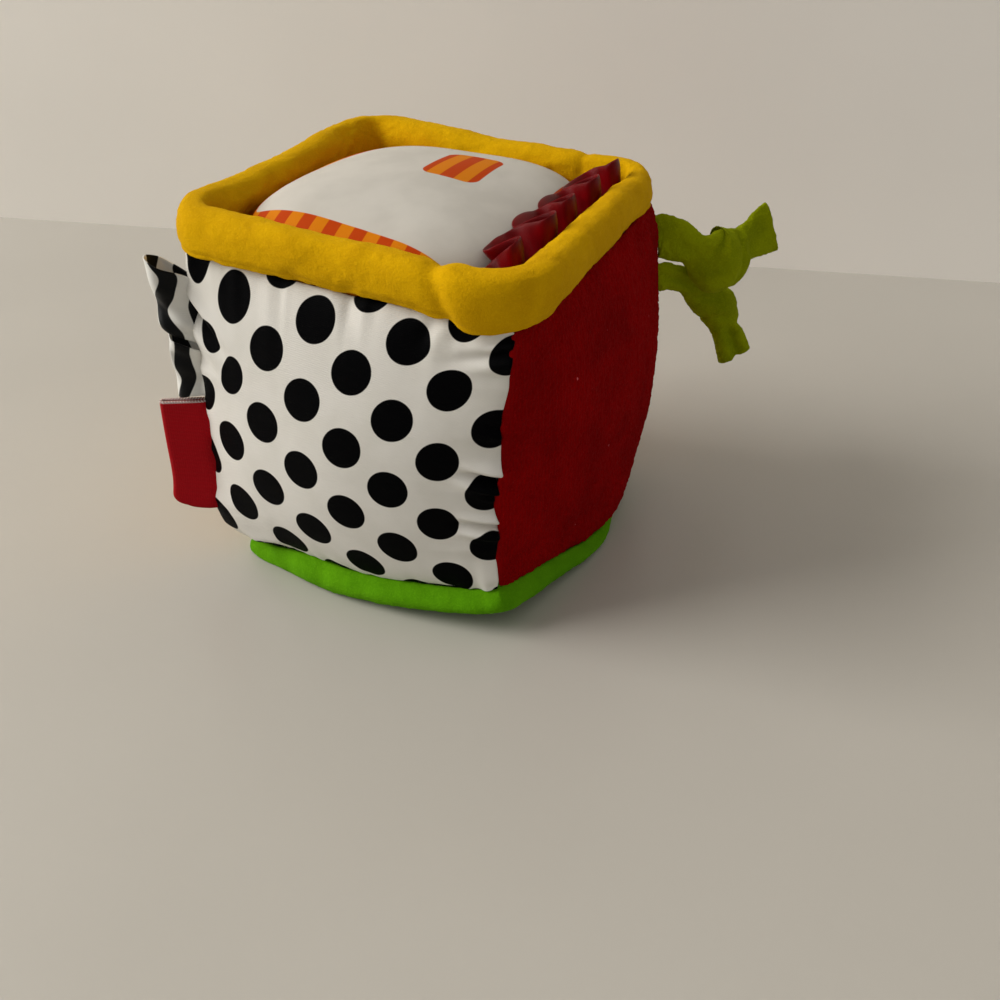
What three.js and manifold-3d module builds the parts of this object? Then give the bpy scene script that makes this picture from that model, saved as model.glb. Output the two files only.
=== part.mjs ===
// A soft fabric activity block for a baby: six sewn panels over a fibre filling, a padded velour collar
// round the top, a satin ruffle, ribbon loops, a label loop, two knotted tails and a rattle capsule.
// Millimetres, +Z up, origin at the middle of the face that it rests on. The dotted front looks along -Y
// and the red side along +X.
import * as THREE from "three";
import { mergeVertices } from "three/addons/utils/BufferGeometryUtils.js";
import Module from "manifold-3d";

const wasm = await Module();
wasm.setup();

// Driving dimensions of the sewn envelope, measured at its seams
const envelope = {
  topWidth: 92.6,
  topDepth: 88.4,
  bottomWidth: 88,
  bottomDepth: 89.4,
  topSeamHeight: 86.8,
  bottomSeamHeight: 8.6,
  topSeamBow: 1.6,
  bottomSeamBow: 3.8,
  nearSeamDrift: 2.4,
  cornerRise: 5,
  cornerSlump: 5,
  cornerTuck: 3.6,
};
// How far each corner of the top seam stands above the near one
const riseShares = { frontLeft: 1, frontRight: 0, backRight: 0.5, backLeft: 0.8 };
// How far each corner of the bottom seam stands above or below its mean height, and is tucked in along X
const slumpShares = { frontLeft: -0.8, frontRight: 0.95, backRight: 0, backLeft: 0 };
const tuckShares = { frontLeft: 0, frontRight: 1, backRight: -0.3, backLeft: 0 };
// How far the filling bows each seam between two sides, and how much fuller its lower half hangs
const seamBows = { frontLeft: 1.1, frontRight: 0, backRight: 2, backLeft: 1.6 };
const sagShares = { frontLeft: 2, frontRight: 0.3, backRight: 0, backLeft: 0.5 };

// Thickness of each panel with its backing, and how far its middle swells out from its seams
const panels = {
  front: { thickness: 1.2, crown: 7.4 },
  right: { thickness: 1.8, crown: 7 },
  back: { thickness: 1.2, crown: 7 },
  left: { thickness: 1.8, crown: 6.6 },
  top: { thickness: 1.2, crown: 13 },
  bottom: { thickness: 1.8, crown: 16 },
};
const sidePillowPower = 0.68;
const topPillowPower = 0.24;
// The raised middle of the top is between a circle and a square in plan
const topSquareness = 3.4;
const bottomPillowPower = 0.26;
// How far the bottom panel bellies out beyond its seam just above the ground
const bottomSwell = 3.8;
const bottomSwellShare = 0.75;
const edgeBands = [0.8, 2.4];

// Clearances between pieces that are sewn or packed together
const seamGap = 0.4;
const packGap = 0.35;

const collar = {
  halfThickness: 4.9,
  height: 15,
  clothThickness: 1.6,
  lean: 2.4,
  pathOutset: 0.6,
  cornerRadius: 12,
  edgeGap: 0.5,
  padGap: 0.7,
};
const collarSectionSquareness = 2.5;
// Stations every 45 degrees from the middle of the red side, counterclockwise seen from above
const collarHeightShares = [0.82, 0.68, 0.69, 0.87, 0.78, 0.8, 0.85, 0.98];
const collarThicknessShares = [0.9, 0.75, 0.92, 1, 1, 1, 1, 1];
const collarLeanShares = [0.1, 0.7, 0.2, -0.3, 0.5, 0.9, 0.2, -0.5];

const ruffle = {
  endGap: 4.9,
  rise: 11,
  lean: 5.5,
  thickness: 0.7,
  foldDepth: 2.3,
  offset: 0.9,
};
const ruffleFolds = 5;

// The flat border of the top panel lies under the collar and, on the red side, under the ruffle
const collarReach = collar.halfThickness - collar.pathOutset;
const topBorder = {
  plain: collarReach + collar.padGap,
  ruffled: collarReach + ruffle.offset + ruffle.lean,
};

// Loops and tails are sewn into vertical seams, one below the other from the top, with a gap between them.
// Each faces straight out from its corner, turned by some degrees counterclockwise seen from above.
const tabGap = 1.6;
const ribbon = { thickness: 0.7, opening: 4.2, rootSpread: 1.1, rootGap: 0.8, ripple: 0.5 };
const ribbonRootShare = 0.05;
const ribbonSwellPower = 0.6;
const ribbonWaves = 1.5;
const upperLoop = { belowTop: 7.2, rootWidth: 18.2, tipWidth: 17.7, tipRise: 5.9, reach: 8.4, turned: -21 };
const lowerLoop = { rootWidth: 12.4, tipWidth: 17.6, tipRise: 5.2, reach: 6.4, turned: -18 };
const label = {
  width: 33.3,
  reach: 12.4,
  thickness: 0.8,
  opening: 1.1,
  rootSpread: 1.15,
  rootLength: 3,
  rootGap: 0.8,
  turned: -17,
};

const tail = { stripWidth: 17, belowTop: 4.8, knotDepth: 1.6, rootGap: 0.6, rootLength: 9 };
const upperTailReach = 38.5;
const lowerTailReach = 30;
const upperKnotRow = 5;
const lowerKnotRow = 4.7;
const creaseRows = 1.2;
const creaseSharpness = 5;
// Rows run from the seam to the free end: distance out, rise and sideways shift as shares of the reach,
// then half height and half thickness as shares of the strip's width
const upperTailShares = [
  [0, 0, 0, 0.38, 0.04],
  [0.05, 0, 0, 0.38, 0.07],
  [0.16, -0.05, -0.02, 0.36, 0.12],
  [0.28, -0.13, -0.06, 0.33, 0.18],
  [0.37, -0.18, -0.09, 0.48, 0.3],
  [0.47, -0.21, -0.1, 0.6, 0.38],
  [0.57, -0.19, -0.08, 0.52, 0.35],
  [0.66, -0.15, -0.05, 0.38, 0.24],
  [0.74, -0.13, -0.03, 0.34, 0.15],
  [0.85, -0.09, -0.01, 0.42, 0.12],
  [0.96, -0.05, 0, 0.47, 0.1],
];
const lowerTailShares = [
  [0, 0, 0, 0.26, 0.04],
  [0.07, 0, 0, 0.26, 0.07],
  [0.26, -0.07, 0.06, 0.25, 0.12],
  [0.5, -0.24, 0.18, 0.27, 0.2],
  [0.69, -0.4, 0.27, 0.35, 0.3],
  [0.81, -0.52, 0.29, 0.4, 0.35],
  [0.88, -0.66, 0.25, 0.33, 0.26],
  [0.92, -0.78, 0.2, 0.29, 0.18],
  [0.97, -0.93, 0.16, 0.31, 0.2],
  [1.02, -1.06, 0.14, 0.32, 0.2],
];

const rattle = { radius: 14, wall: 1.5, lap: 3, lapGap: 0.35, height: 44, pocketGap: 0.6 };
const bead = { radius: 2.6, gap: 0.35 };
const beadCount = 3;

// How finely the cloth is meshed
const panelCells = 7;
const collarSideSteps = 5;
const collarCornerSteps = 5;
const collarSectionSteps = 6;
const ruffleStepsPerFold = 8;
const ruffleRows = 3;
const loopSteps = 20;
const loopRows = 4;
const labelLineShares = [-1, -0.8, -0.55, -0.3, -0.12, -0.06, 0, 0.06, 0.12, 0.3, 0.55, 0.8, 1];
const labelRows = 4;
const tailSides = 12;
const tailStepsPerRow = 3;
const rattleSegments = 20;
const shellArcSteps = 8;
const beadSegments = 12;
const tiny = 1e-9;

const FRONT = { along: "x", normal: new THREE.Vector3(0, -1, 0) };
const RIGHT = { along: "y", normal: new THREE.Vector3(1, 0, 0) };
const BACK = { along: "x", normal: new THREE.Vector3(0, 1, 0) };
const LEFT = { along: "y", normal: new THREE.Vector3(-1, 0, 0) };
const NONE = { front: 0, right: 0, back: 0, left: 0, top: 0, bottom: 0 };

function cornerName(sx, sy) {
  return (sy < 0 ? "front" : "back") + (sx < 0 ? "Left" : "Right");
}

// A corner of the envelope; each side of it lies depth below the outer surface
function corner(sx, sy, sz, depth) {
  const inX = sx > 0 ? depth.right : depth.left;
  const inY = sy > 0 ? depth.back : depth.front;
  if (sz > 0) {
    return new THREE.Vector3(
      sx * (envelope.topWidth / 2 - inX),
      sy * (envelope.topDepth / 2 - inY),
      envelope.topSeamHeight + envelope.cornerRise * riseShares[cornerName(sx, sy)] - depth.top,
    );
  }
  const slump = envelope.cornerSlump * slumpShares[cornerName(sx, sy)];
  const tuck = envelope.cornerTuck * tuckShares[cornerName(sx, sy)];
  return new THREE.Vector3(
    sx * (envelope.bottomWidth / 2 - inX - tuck),
    sy * (envelope.bottomDepth / 2 - inY),
    envelope.bottomSeamHeight + slump + depth.bottom,
  );
}

// How high the top's flat border stands at a place inside or just outside its seams
function borderHeight(x, y) {
  const a = (1 + (2 * x) / envelope.topWidth) / 2;
  const b = (1 + (2 * y) / envelope.topDepth) / 2;
  const near = THREE.MathUtils.lerp(riseShares.frontLeft, riseShares.frontRight, a);
  const far = THREE.MathUtils.lerp(riseShares.backLeft, riseShares.backRight, a);
  return envelope.topSeamHeight + envelope.cornerRise * THREE.MathUtils.lerp(near, far, b);
}

// A point of a seam between two corners, bowed out by the filling; t runs from -1 to 1
function seam(from, to, bow, t, sag = 0) {
  const point = from.clone().lerp(to, (1 + t) / 2);
  return point.addScaledVector(bow, (1 - t * t) * (1 - sag * t));
}

function verticalSeam(sx, sy, t, depth) {
  const name = cornerName(sx, sy);
  const drift = name === "frontRight" ? envelope.nearSeamDrift : 0;
  const bow = new THREE.Vector3(sx * seamBows[name] - drift, sy * seamBows[name], 0);
  return seam(corner(sx, sy, -1, depth), corner(sx, sy, 1, depth), bow, t, sagShares[name]);
}

function levelSeam(a, b, sz, normal, t, depth) {
  const size = sz > 0 ? envelope.topSeamBow : envelope.bottomSeamBow;
  const bow = normal.clone().multiplyScalar(size);
  return seam(corner(a[0], a[1], sz, depth), corner(b[0], b[1], sz, depth), bow, t);
}

// The surface spanned by four seams, where u and v run from -1 to 1
function patch(low, high, start, end, u, v) {
  const a = (1 - u) / 2;
  const b = (1 + u) / 2;
  const c = (1 - v) / 2;
  const d = (1 + v) / 2;
  const point = new THREE.Vector3();
  point.addScaledVector(low(u), c).addScaledVector(high(u), d);
  point.addScaledVector(start(v), a).addScaledVector(end(v), b);
  point.addScaledVector(low(-1), -a * c).addScaledVector(low(1), -b * c);
  point.addScaledVector(high(-1), -a * d).addScaledVector(high(1), -b * d);
  return point;
}

function pillow(u, v, power) {
  return Math.max(0, (1 - u * u) * (1 - v * v)) ** power;
}

// One side of the block, from its left seam to its right one as seen from outside
function sidePoint(side, name, u, v, depth) {
  const n = side.normal;
  const a = side.along === "x" ? [n.y, n.y] : [n.x, -n.x];
  const b = side.along === "x" ? [-n.y, n.y] : [n.x, n.x];
  const point = patch(
    (t) => levelSeam(a, b, -1, n, t, depth),
    (t) => levelSeam(a, b, 1, n, t, depth),
    (t) => verticalSeam(a[0], a[1], t, depth),
    (t) => verticalSeam(b[0], b[1], t, depth),
    u,
    v,
  );
  return point.addScaledVector(n, panels[name].crown * pillow(u, v, sidePillowPower));
}

// The top or the bottom between its four level seams; u runs along +X
function levelPoint(sz, u, v, depth) {
  const s = sz > 0 ? 1 : -1;
  return patch(
    (t) => levelSeam([-1, -s], [1, -s], sz, new THREE.Vector3(0, -s, 0), t, depth),
    (t) => levelSeam([-1, s], [1, s], sz, new THREE.Vector3(0, s, 0), t, depth),
    (t) => levelSeam([-1, -s], [-1, s], sz, new THREE.Vector3(-1, 0, 0), t, depth),
    (t) => levelSeam([1, -s], [1, s], sz, new THREE.Vector3(1, 0, 0), t, depth),
    u,
    v,
  );
}

// Where u falls on the raised middle of the top panel, between borders low and high
function raised(u, half, low, high) {
  const middle = (low - high) / 2;
  const reach = half - (low + high) / 2;
  return THREE.MathUtils.clamp((u * half - middle) / reach, -1, 1);
}

function topPoint(u, v, depth) {
  const point = levelPoint(1, u, v, depth);
  const across = raised(u, envelope.topWidth / 2, topBorder.plain, topBorder.ruffled);
  const along = raised(v, envelope.topDepth / 2, topBorder.plain, topBorder.plain);
  const reach = (Math.abs(across) ** topSquareness + Math.abs(along) ** topSquareness) ** (2 / topSquareness);
  point.z += panels.top.crown * Math.max(0, 1 - reach) ** topPillowPower;
  return point;
}

// The bottom panel swells below its seam and is pressed flat on what it rests on
function bottomPoint(u, v, depth) {
  const point = levelPoint(-1, u, v, depth);
  const drop = pillow(u, v, bottomPillowPower);
  const outward = new THREE.Vector3(point.x, point.y, 0).divideScalar(envelope.bottomDepth / 2);
  point.addScaledVector(outward, bottomSwell * Math.sin(Math.PI * Math.min(1, drop / bottomSwellShare)));
  point.z = Math.max(point.z - panels.bottom.crown * drop, depth.bottom);
  return point;
}

const facePoint = {
  front: (u, v, depth) => sidePoint(FRONT, "front", u, v, depth),
  right: (u, v, depth) => sidePoint(RIGHT, "right", u, v, depth),
  back: (u, v, depth) => sidePoint(BACK, "back", u, v, depth),
  left: (u, v, depth) => sidePoint(LEFT, "left", u, v, depth),
  top: topPoint,
  bottom: bottomPoint,
};

function evenLines(count) {
  return Array.from({ length: count + 1 }, (_, i) => -1 + (2 * i) / count);
}

// Grid lines from -1 to 1: narrow bands and a border at each edge, and closer together towards them
function gridLines(half, low, high) {
  const start = -1 + low / half;
  const end = 1 - high / half;
  const bands = edgeBands.map((band) => 1 - band / half);
  const lines = [-1, ...bands.map((t) => -t)];
  for (let i = 0; i <= panelCells; i += 1) {
    const eased = (1 - Math.cos((Math.PI * i) / panelCells)) / 2;
    lines.push(start + (end - start) * eased);
  }
  lines.push(...bands.reverse(), 1);
  return lines;
}

const xLines = gridLines(envelope.topWidth / 2, topBorder.plain, topBorder.ruffled);
const yLines = gridLines(envelope.topDepth / 2, topBorder.plain, topBorder.plain);
const sideHalf = (envelope.topSeamHeight - envelope.bottomSeamHeight) / 2;
const zLines = gridLines(sideHalf, topBorder.plain, topBorder.plain);
const mirrored = (lines) => lines.map((t) => -t).reverse();
const faceLines = {
  front: [xLines, zLines],
  right: [yLines, zLines],
  back: [mirrored(xLines), zLines],
  left: [mirrored(yLines), zLines],
  top: [xLines, yLines],
  bottom: [xLines, mirrored(yLines)],
};

function geometryOf(points, triangles) {
  const geometry = new THREE.BufferGeometry();
  const flat = points.flatMap((p) => [p.x, p.y, p.z]);
  geometry.setAttribute("position", new THREE.Float32BufferAttribute(flat, 3));
  geometry.setIndex(triangles.flat());
  return geometry;
}

// A closed sheet between an outer and an inner surface over the same grid lines
function sheet(outer, inner, uLines, vLines) {
  const columns = uLines.length;
  const rows = vLines.length;
  const points = [];
  for (const surface of [outer, inner]) {
    for (const v of vLines) {
      for (const u of uLines) points.push(surface(u, v));
    }
  }
  const id = (layer, i, j) => layer * columns * rows + j * columns + i;
  const triangles = [];
  const quad = (a, b, c, d) => triangles.push([a, b, c], [a, c, d]);
  for (let j = 0; j + 1 < rows; j += 1) {
    for (let i = 0; i + 1 < columns; i += 1) {
      quad(id(0, i, j), id(0, i + 1, j), id(0, i + 1, j + 1), id(0, i, j + 1));
      quad(id(1, i, j), id(1, i, j + 1), id(1, i + 1, j + 1), id(1, i + 1, j));
    }
  }
  for (let i = 0; i + 1 < columns; i += 1) {
    quad(id(0, i + 1, 0), id(0, i, 0), id(1, i, 0), id(1, i + 1, 0));
    quad(id(0, i, rows - 1), id(0, i + 1, rows - 1), id(1, i + 1, rows - 1), id(1, i, rows - 1));
  }
  for (let j = 0; j + 1 < rows; j += 1) {
    quad(id(0, 0, j), id(0, 0, j + 1), id(1, 0, j + 1), id(1, 0, j));
    quad(id(0, columns - 1, j + 1), id(0, columns - 1, j), id(1, columns - 1, j), id(1, columns - 1, j + 1));
  }
  return geometryOf(points, triangles);
}

// A skin over rings of points; rings run counterclockwise seen from the far end of the path.
// An open path gets flat ends, and a closed one joins its last ring to its first.
function skin(rings, closed) {
  const sides = rings[0].length;
  const points = rings.flat();
  const triangles = [];
  const id = (ring, i) => (ring % rings.length) * sides + (i % sides);
  const spans = closed ? rings.length : rings.length - 1;
  for (let r = 0; r < spans; r += 1) {
    for (let i = 0; i < sides; i += 1) {
      triangles.push([id(r, i), id(r, i + 1), id(r + 1, i + 1)], [id(r, i), id(r + 1, i + 1), id(r + 1, i)]);
    }
  }
  if (!closed) {
    const middle = (ring) => ring.reduce((sum, p) => sum.add(p), new THREE.Vector3()).divideScalar(sides);
    const first = points.push(middle(rings[0])) - 1;
    const last = points.push(middle(rings[rings.length - 1])) - 1;
    for (let i = 0; i < sides; i += 1) {
      triangles.push([first, id(0, i + 1), id(0, i)]);
      triangles.push([last, id(rings.length - 1, i), id(rings.length - 1, i + 1)]);
    }
  }
  return geometryOf(points, triangles);
}

// Manifold solids, for the cuts in the filling
function solidOf(geometry) {
  const bare = geometry.clone();
  bare.deleteAttribute("normal");
  bare.deleteAttribute("uv");
  const merged = mergeVertices(bare);
  return new wasm.Manifold(
    new wasm.Mesh({
      numProp: 3,
      vertProperties: merged.attributes.position.array,
      triVerts: new Uint32Array(merged.index.array),
    }),
  );
}

function geometryFrom(solid) {
  const mesh = solid.getMesh();
  const geometry = new THREE.BufferGeometry();
  geometry.setAttribute("position", new THREE.BufferAttribute(new Float32Array(mesh.vertProperties), 3));
  geometry.setIndex(new THREE.BufferAttribute(new Uint32Array(mesh.triVerts), 1));
  return geometry;
}

const panelDepth = Object.fromEntries(Object.entries(panels).map(([name, p]) => [name, p.thickness]));
const fillDepth = Object.fromEntries(
  Object.entries(panels).map(([name, p]) => [name, p.thickness + packGap]),
);

function panelGeometry(name) {
  const halves = {
    front: [envelope.topWidth / 2, sideHalf],
    right: [envelope.topDepth / 2, sideHalf],
    top: [envelope.topWidth / 2, envelope.topDepth / 2],
  };
  const [halfU, halfV] = halves[{ back: "front", left: "right", bottom: "top" }[name] ?? name];
  const edgeU = 1 - seamGap / 2 / halfU;
  const edgeV = 1 - seamGap / 2 / halfV;
  const clamp = THREE.MathUtils.clamp;
  const surface = (depth) => (u, v) => facePoint[name](clamp(u, -edgeU, edgeU), clamp(v, -edgeV, edgeV), depth);
  return sheet(surface(NONE), surface(panelDepth), ...faceLines[name]);
}

// The collar follows the top seam as a rounded rectangle, listed counterclockwise seen from above
function collarStations() {
  const halfX = envelope.topWidth / 2 + collar.pathOutset - collar.cornerRadius;
  const halfY = envelope.topDepth / 2 + collar.pathOutset - collar.cornerRadius;
  const stations = [];
  for (let side = 0; side < 4; side += 1) {
    const turned = (side * Math.PI) / 2;
    const half = side % 2 ? halfX : halfY;
    const far = (side % 2 ? halfY : halfX) + collar.cornerRadius;
    for (let i = 1; i < collarSideSteps; i += 1) {
      const along = half * ((2 * i) / collarSideSteps - 1);
      stations.push({ at: new THREE.Vector3(far, along, 0), out: new THREE.Vector3(1, 0, 0), turned });
    }
    for (let i = 0; i <= collarCornerSteps; i += 1) {
      const turn = (i * Math.PI) / 2 / collarCornerSteps;
      const out = new THREE.Vector3(Math.cos(turn), Math.sin(turn), 0);
      const centre = new THREE.Vector3(far - collar.cornerRadius, half, 0);
      stations.push({ at: centre.addScaledVector(out, collar.cornerRadius), out, turned });
    }
  }
  const up = new THREE.Vector3(0, 0, 1);
  return stations.map(({ at, out, turned }) => {
    at.applyAxisAngle(up, turned);
    return { at, out: out.clone().applyAxisAngle(up, turned), angle: Math.atan2(at.y, at.x) };
  });
}

function stationShare(shares, angle) {
  const place = (((angle / (2 * Math.PI)) % 1) + 1) % 1 * shares.length;
  const i = Math.floor(place);
  const t = THREE.MathUtils.smoothstep(place - i, 0, 1);
  return THREE.MathUtils.lerp(shares[i % shares.length], shares[(i + 1) % shares.length], t);
}

// A point of the collar's section: turn runs from 0 at the seam, up the inner side and back down, to 1
function collarPoint(station, turn, inset) {
  const { at, out: outward, angle } = station;
  const height = collar.height * stationShare(collarHeightShares, angle);
  const lean = collar.lean * stationShare(collarLeanShares, angle);
  const half = collar.halfThickness * stationShare(collarThicknessShares, angle);
  const c = Math.cos(2 * Math.PI * turn);
  const s = Math.sin(2 * Math.PI * turn);
  const power = 2 / collarSectionSquareness;
  const inward = Math.sign(s) * Math.abs(s) ** power * (half - inset) + collar.halfThickness - half;
  const up = height / 2 - Math.sign(c) * Math.abs(c) ** power * (height / 2 - inset);
  const point = at.clone().addScaledVector(outward, -inward - (lean * up) / height);
  point.z = borderHeight(point.x, point.y) + packGap + up;
  return point;
}

// A strip of velour folded over the padding; its two raw edges meet at the seam
function collarCoverGeometry() {
  const slit = collar.edgeGap / 2 / (Math.PI * collar.halfThickness);
  const steps = collarSectionSteps * 2;
  const turns = Array.from({ length: steps + 1 }, (_, i) => slit + ((1 - 2 * slit) * i) / steps);
  const rings = collarStations().map((station) => [
    ...turns.map((turn) => collarPoint(station, turn, 0)),
    ...turns.map((turn) => collarPoint(station, turn, collar.clothThickness)).reverse(),
  ]);
  return skin(rings, true);
}

function collarPaddingGeometry() {
  const inset = collar.clothThickness + packGap;
  const turns = Array.from({ length: collarSectionSteps * 2 }, (_, i) => i / (collarSectionSteps * 2));
  return skin(collarStations().map((station) => turns.map((turn) => collarPoint(station, turn, inset))), true);
}

// A gathered ribbon: sewn flat along the collar's foot, and waving more towards its free edge
function ruffleGeometry() {
  const along = new THREE.Vector2(-ruffle.lean, ruffle.rise).normalize();
  const across = new THREE.Vector2(along.y, -along.x);
  const footX = envelope.topWidth / 2 - collar.halfThickness - ruffle.offset;
  const length = envelope.topDepth - 2 * (collarReach + ruffle.endGap);
  const surface = (shift) => (u, v) => {
    const up = (1 + v) / 2;
    const run = Math.hypot(ruffle.rise, ruffle.lean) * up;
    const fold = ruffle.foldDepth * up * Math.sin(Math.PI * ruffleFolds * u);
    const offset = fold + shift;
    const x = footX + along.x * run + across.x * offset;
    const y = (u * length) / 2;
    const foot = borderHeight(x, y) + packGap + ruffle.thickness / 2;
    return new THREE.Vector3(x, y, foot + along.y * run + across.y * offset);
  };
  const half = ruffle.thickness / 2;
  const steps = ruffleFolds * ruffleStepsPerFold;
  return sheet(surface(half), surface(-half), evenLines(steps), evenLines(ruffleRows));
}

// Where a vertical seam stands at a given height
function seamAt(sx, sy, height) {
  const low = corner(sx, sy, -1, NONE).z;
  const t = (2 * (height - low)) / (corner(sx, sy, 1, NONE).z - low) - 1;
  return verticalSeam(sx, sy, t, NONE);
}

const upperRootHigh = corner(-1, -1, 1, NONE).z - upperLoop.belowTop;
const lowerRootHigh = upperRootHigh - upperLoop.rootWidth - tabGap;
const labelHigh = lowerRootHigh - lowerLoop.rootWidth - tabGap;
const upperTailHalf = tail.stripWidth * upperTailShares[0][3];
const lowerTailHalf = tail.stripWidth * lowerTailShares[0][3];
const upperTailHeight = corner(1, 1, 1, NONE).z - tail.belowTop - upperTailHalf;
const lowerTailHeight = upperTailHeight - upperTailHalf - tabGap - lowerTailHalf;

// Places local points (out, sideways, up) on a vertical seam
function onSeam(sx, sy, turned) {
  const turn = Math.atan2(sy, sx) + THREE.MathUtils.degToRad(turned);
  return (out, side, height) => {
    const root = seamAt(sx, sy, height);
    return new THREE.Vector3(
      root.x + out * Math.cos(turn) - side * Math.sin(turn),
      root.y + out * Math.sin(turn) + side * Math.cos(turn),
      height,
    );
  };
}

// A ribbon folded into a loop, both ends sewn into the front left seam and gathered there
function loopGeometry(loop, rootHigh) {
  const place = onSeam(-1, -1, loop.turned);
  const start = Math.PI * ribbonRootShare;
  const nudge = start / loopSteps;
  const centre = (turn) => {
    const out = (1 - Math.cos(turn)) / 2;
    const spread = (ribbon.rootSpread / 2) * Math.cos(turn / 2);
    const swell = (ribbon.opening / 2) * Math.sin(turn) * out ** ribbonSwellPower;
    return [ribbon.rootGap + loop.reach * out, spread + swell];
  };
  const surface = (shift) => (u, v) => {
    const turn = start + ((1 + u) / 2) * (2 * Math.PI - 2 * start);
    const [x, y] = centre(turn);
    const [xa, ya] = centre(turn - nudge);
    const [xb, yb] = centre(turn + nudge);
    const size = Math.hypot(xb - xa, yb - ya);
    const nx = (yb - ya) / size;
    const ny = -(xb - xa) / size;
    const share = THREE.MathUtils.clamp((x - ribbon.rootGap) / loop.reach, 0, 1);
    const high = rootHigh + loop.tipRise * share;
    const low = high - THREE.MathUtils.lerp(loop.rootWidth, loop.tipWidth, share);
    const wave = ribbon.ripple * share * Math.sin(Math.PI * v * ribbonWaves);
    return place(x + nx * shift, y + wave + ny * shift, THREE.MathUtils.lerp(low, high, (1 + v) / 2));
  };
  const half = ribbon.thickness / 2;
  return sheet(surface(half), surface(-half), evenLines(loopSteps), evenLines(loopRows));
}

// A woven label folded once, both ends sewn into the front left seam
function labelGeometry() {
  const place = onSeam(-1, -1, label.turned);
  const bend = label.opening / 2 + label.thickness / 2;
  const centre = (u) => {
    const straight = label.reach - bend - label.thickness / 2;
    const arc = Math.PI * bend;
    const run = ((1 + u) / 2) * (2 * straight + arc);
    const leaf = (x) => THREE.MathUtils.lerp(label.rootSpread / 2, bend, Math.min(1, x / label.rootLength));
    if (run < straight) return [run, -leaf(run), 0, -1];
    const left = 2 * straight + arc - run;
    if (left < straight) return [left, leaf(left), 0, 1];
    const turn = (run - straight) / bend;
    return [straight + bend * Math.sin(turn), -bend * Math.cos(turn), Math.sin(turn), -Math.cos(turn)];
  };
  const surface = (shift) => (u, v) => {
    const [x, y, nx, ny] = centre(u);
    const height = labelHigh - (label.width * (1 - v)) / 2;
    return place(label.rootGap + x + nx * shift, y + ny * shift, height);
  };
  const half = label.thickness / 2;
  return sheet(surface(half), surface(-half), labelLineShares, evenLines(labelRows));
}

// A strip of velour with an overhand knot, sewn into the back right seam at one end
function tailGeometry(rootHeight, reach, shares, knotRow) {
  const place = onSeam(1, 1, 0);
  const route = new THREE.CatmullRomCurve3(
    shares.map(([out, rise, side]) => new THREE.Vector3(out, side, rise).multiplyScalar(reach)),
    false,
    "centripetal",
  );
  const rows = (shares.length - 1) * tailStepsPerRow;
  const sizeAt = (column, t) => {
    const row = t * (shares.length - 1);
    const i = Math.min(Math.floor(row), shares.length - 2);
    return tail.stripWidth * THREE.MathUtils.lerp(shares[i][column], shares[i + 1][column], row - i);
  };
  const rings = [];
  for (let r = 0; r <= rows; r += 1) {
    const t = r / rows;
    const at = route.getPoint(t);
    const ahead = route.getTangent(t);
    const up = new THREE.Vector3(-ahead.z, 0, ahead.x).normalize();
    const side = new THREE.Vector3().crossVectors(up, ahead);
    const ring = [];
    for (let i = 0; i < tailSides; i += 1) {
      const turn = (2 * Math.PI * i) / tailSides;
      // Two slanting creases mark where the strip wraps round itself
      const slant = t * (shares.length - 1) - knotRow - Math.sin(turn);
      const near = Math.exp(-((slant - creaseRows) ** 2) * creaseSharpness);
      const crease = near + Math.exp(-((slant + creaseRows) ** 2) * creaseSharpness);
      const halfHeight = sizeAt(3, t) - tail.knotDepth * crease;
      const halfThickness = sizeAt(4, t) - (tail.knotDepth * crease) / 2;
      const p = at.clone();
      p.addScaledVector(up, halfHeight * Math.sin(turn)).addScaledVector(side, halfThickness * Math.cos(turn));
      ring.push(p);
    }
    rings.push(ring);
  }
  const placed = rings.map((ring) =>
    ring.map((p) => {
      const follow = p.z * Math.max(0, 1 - p.x / tail.rootLength);
      const root = place(tail.rootGap + p.x, p.y, rootHeight + follow);
      root.z = rootHeight + p.z;
      return root;
    }),
  );
  return skin(placed, false);
}

// The whole filling as one closed body, before it is parted and hollowed
function fillSolid() {
  const pieces = Object.keys(facePoint).map((name) => {
    const [uLines, vLines] = faceLines[name];
    const points = [];
    const triangles = [];
    for (const v of vLines) {
      for (const u of uLines) points.push(facePoint[name](u, v, fillDepth));
    }
    for (let j = 0; j + 1 < vLines.length; j += 1) {
      for (let i = 0; i + 1 < uLines.length; i += 1) {
        const a = j * uLines.length + i;
        const b = a + uLines.length;
        triangles.push([a, a + 1, b + 1], [a, b + 1, b]);
      }
    }
    return [points, triangles];
  });
  const points = [];
  const triangles = [];
  for (const [p, t] of pieces) {
    triangles.push(...t.map((triangle) => triangle.map((i) => i + points.length)));
    points.push(...p);
  }
  return solidOf(geometryOf(points, triangles));
}

function boxSolid(width, depth, low, high) {
  const box = new THREE.BoxGeometry(width, depth, high - low);
  box.translate(0, 0, (low + high) / 2);
  return solidOf(box);
}

// Two wads of fibre pressed round the rattle
function fillGeometries() {
  const pocket = new THREE.SphereGeometry(rattle.radius + rattle.pocketGap, rattleSegments, shellArcSteps * 2);
  pocket.translate(0, 0, rattle.height);
  const filling = fillSolid().subtract(solidOf(pocket));
  const wide = envelope.topWidth + envelope.topDepth;
  const low = boxSolid(wide, wide, -wide, rattle.height - packGap / 2);
  const high = boxSolid(wide, wide, rattle.height + packGap / 2, wide);
  return [geometryFrom(filling.intersect(low)), geometryFrom(filling.intersect(high))];
}

function arc(radius, from, to, steps) {
  return Array.from({ length: steps + 1 }, (_, i) => {
    const turn = from + ((to - from) * i) / steps;
    return new THREE.Vector2(radius * Math.cos(turn), radius * Math.sin(turn));
  });
}

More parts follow.
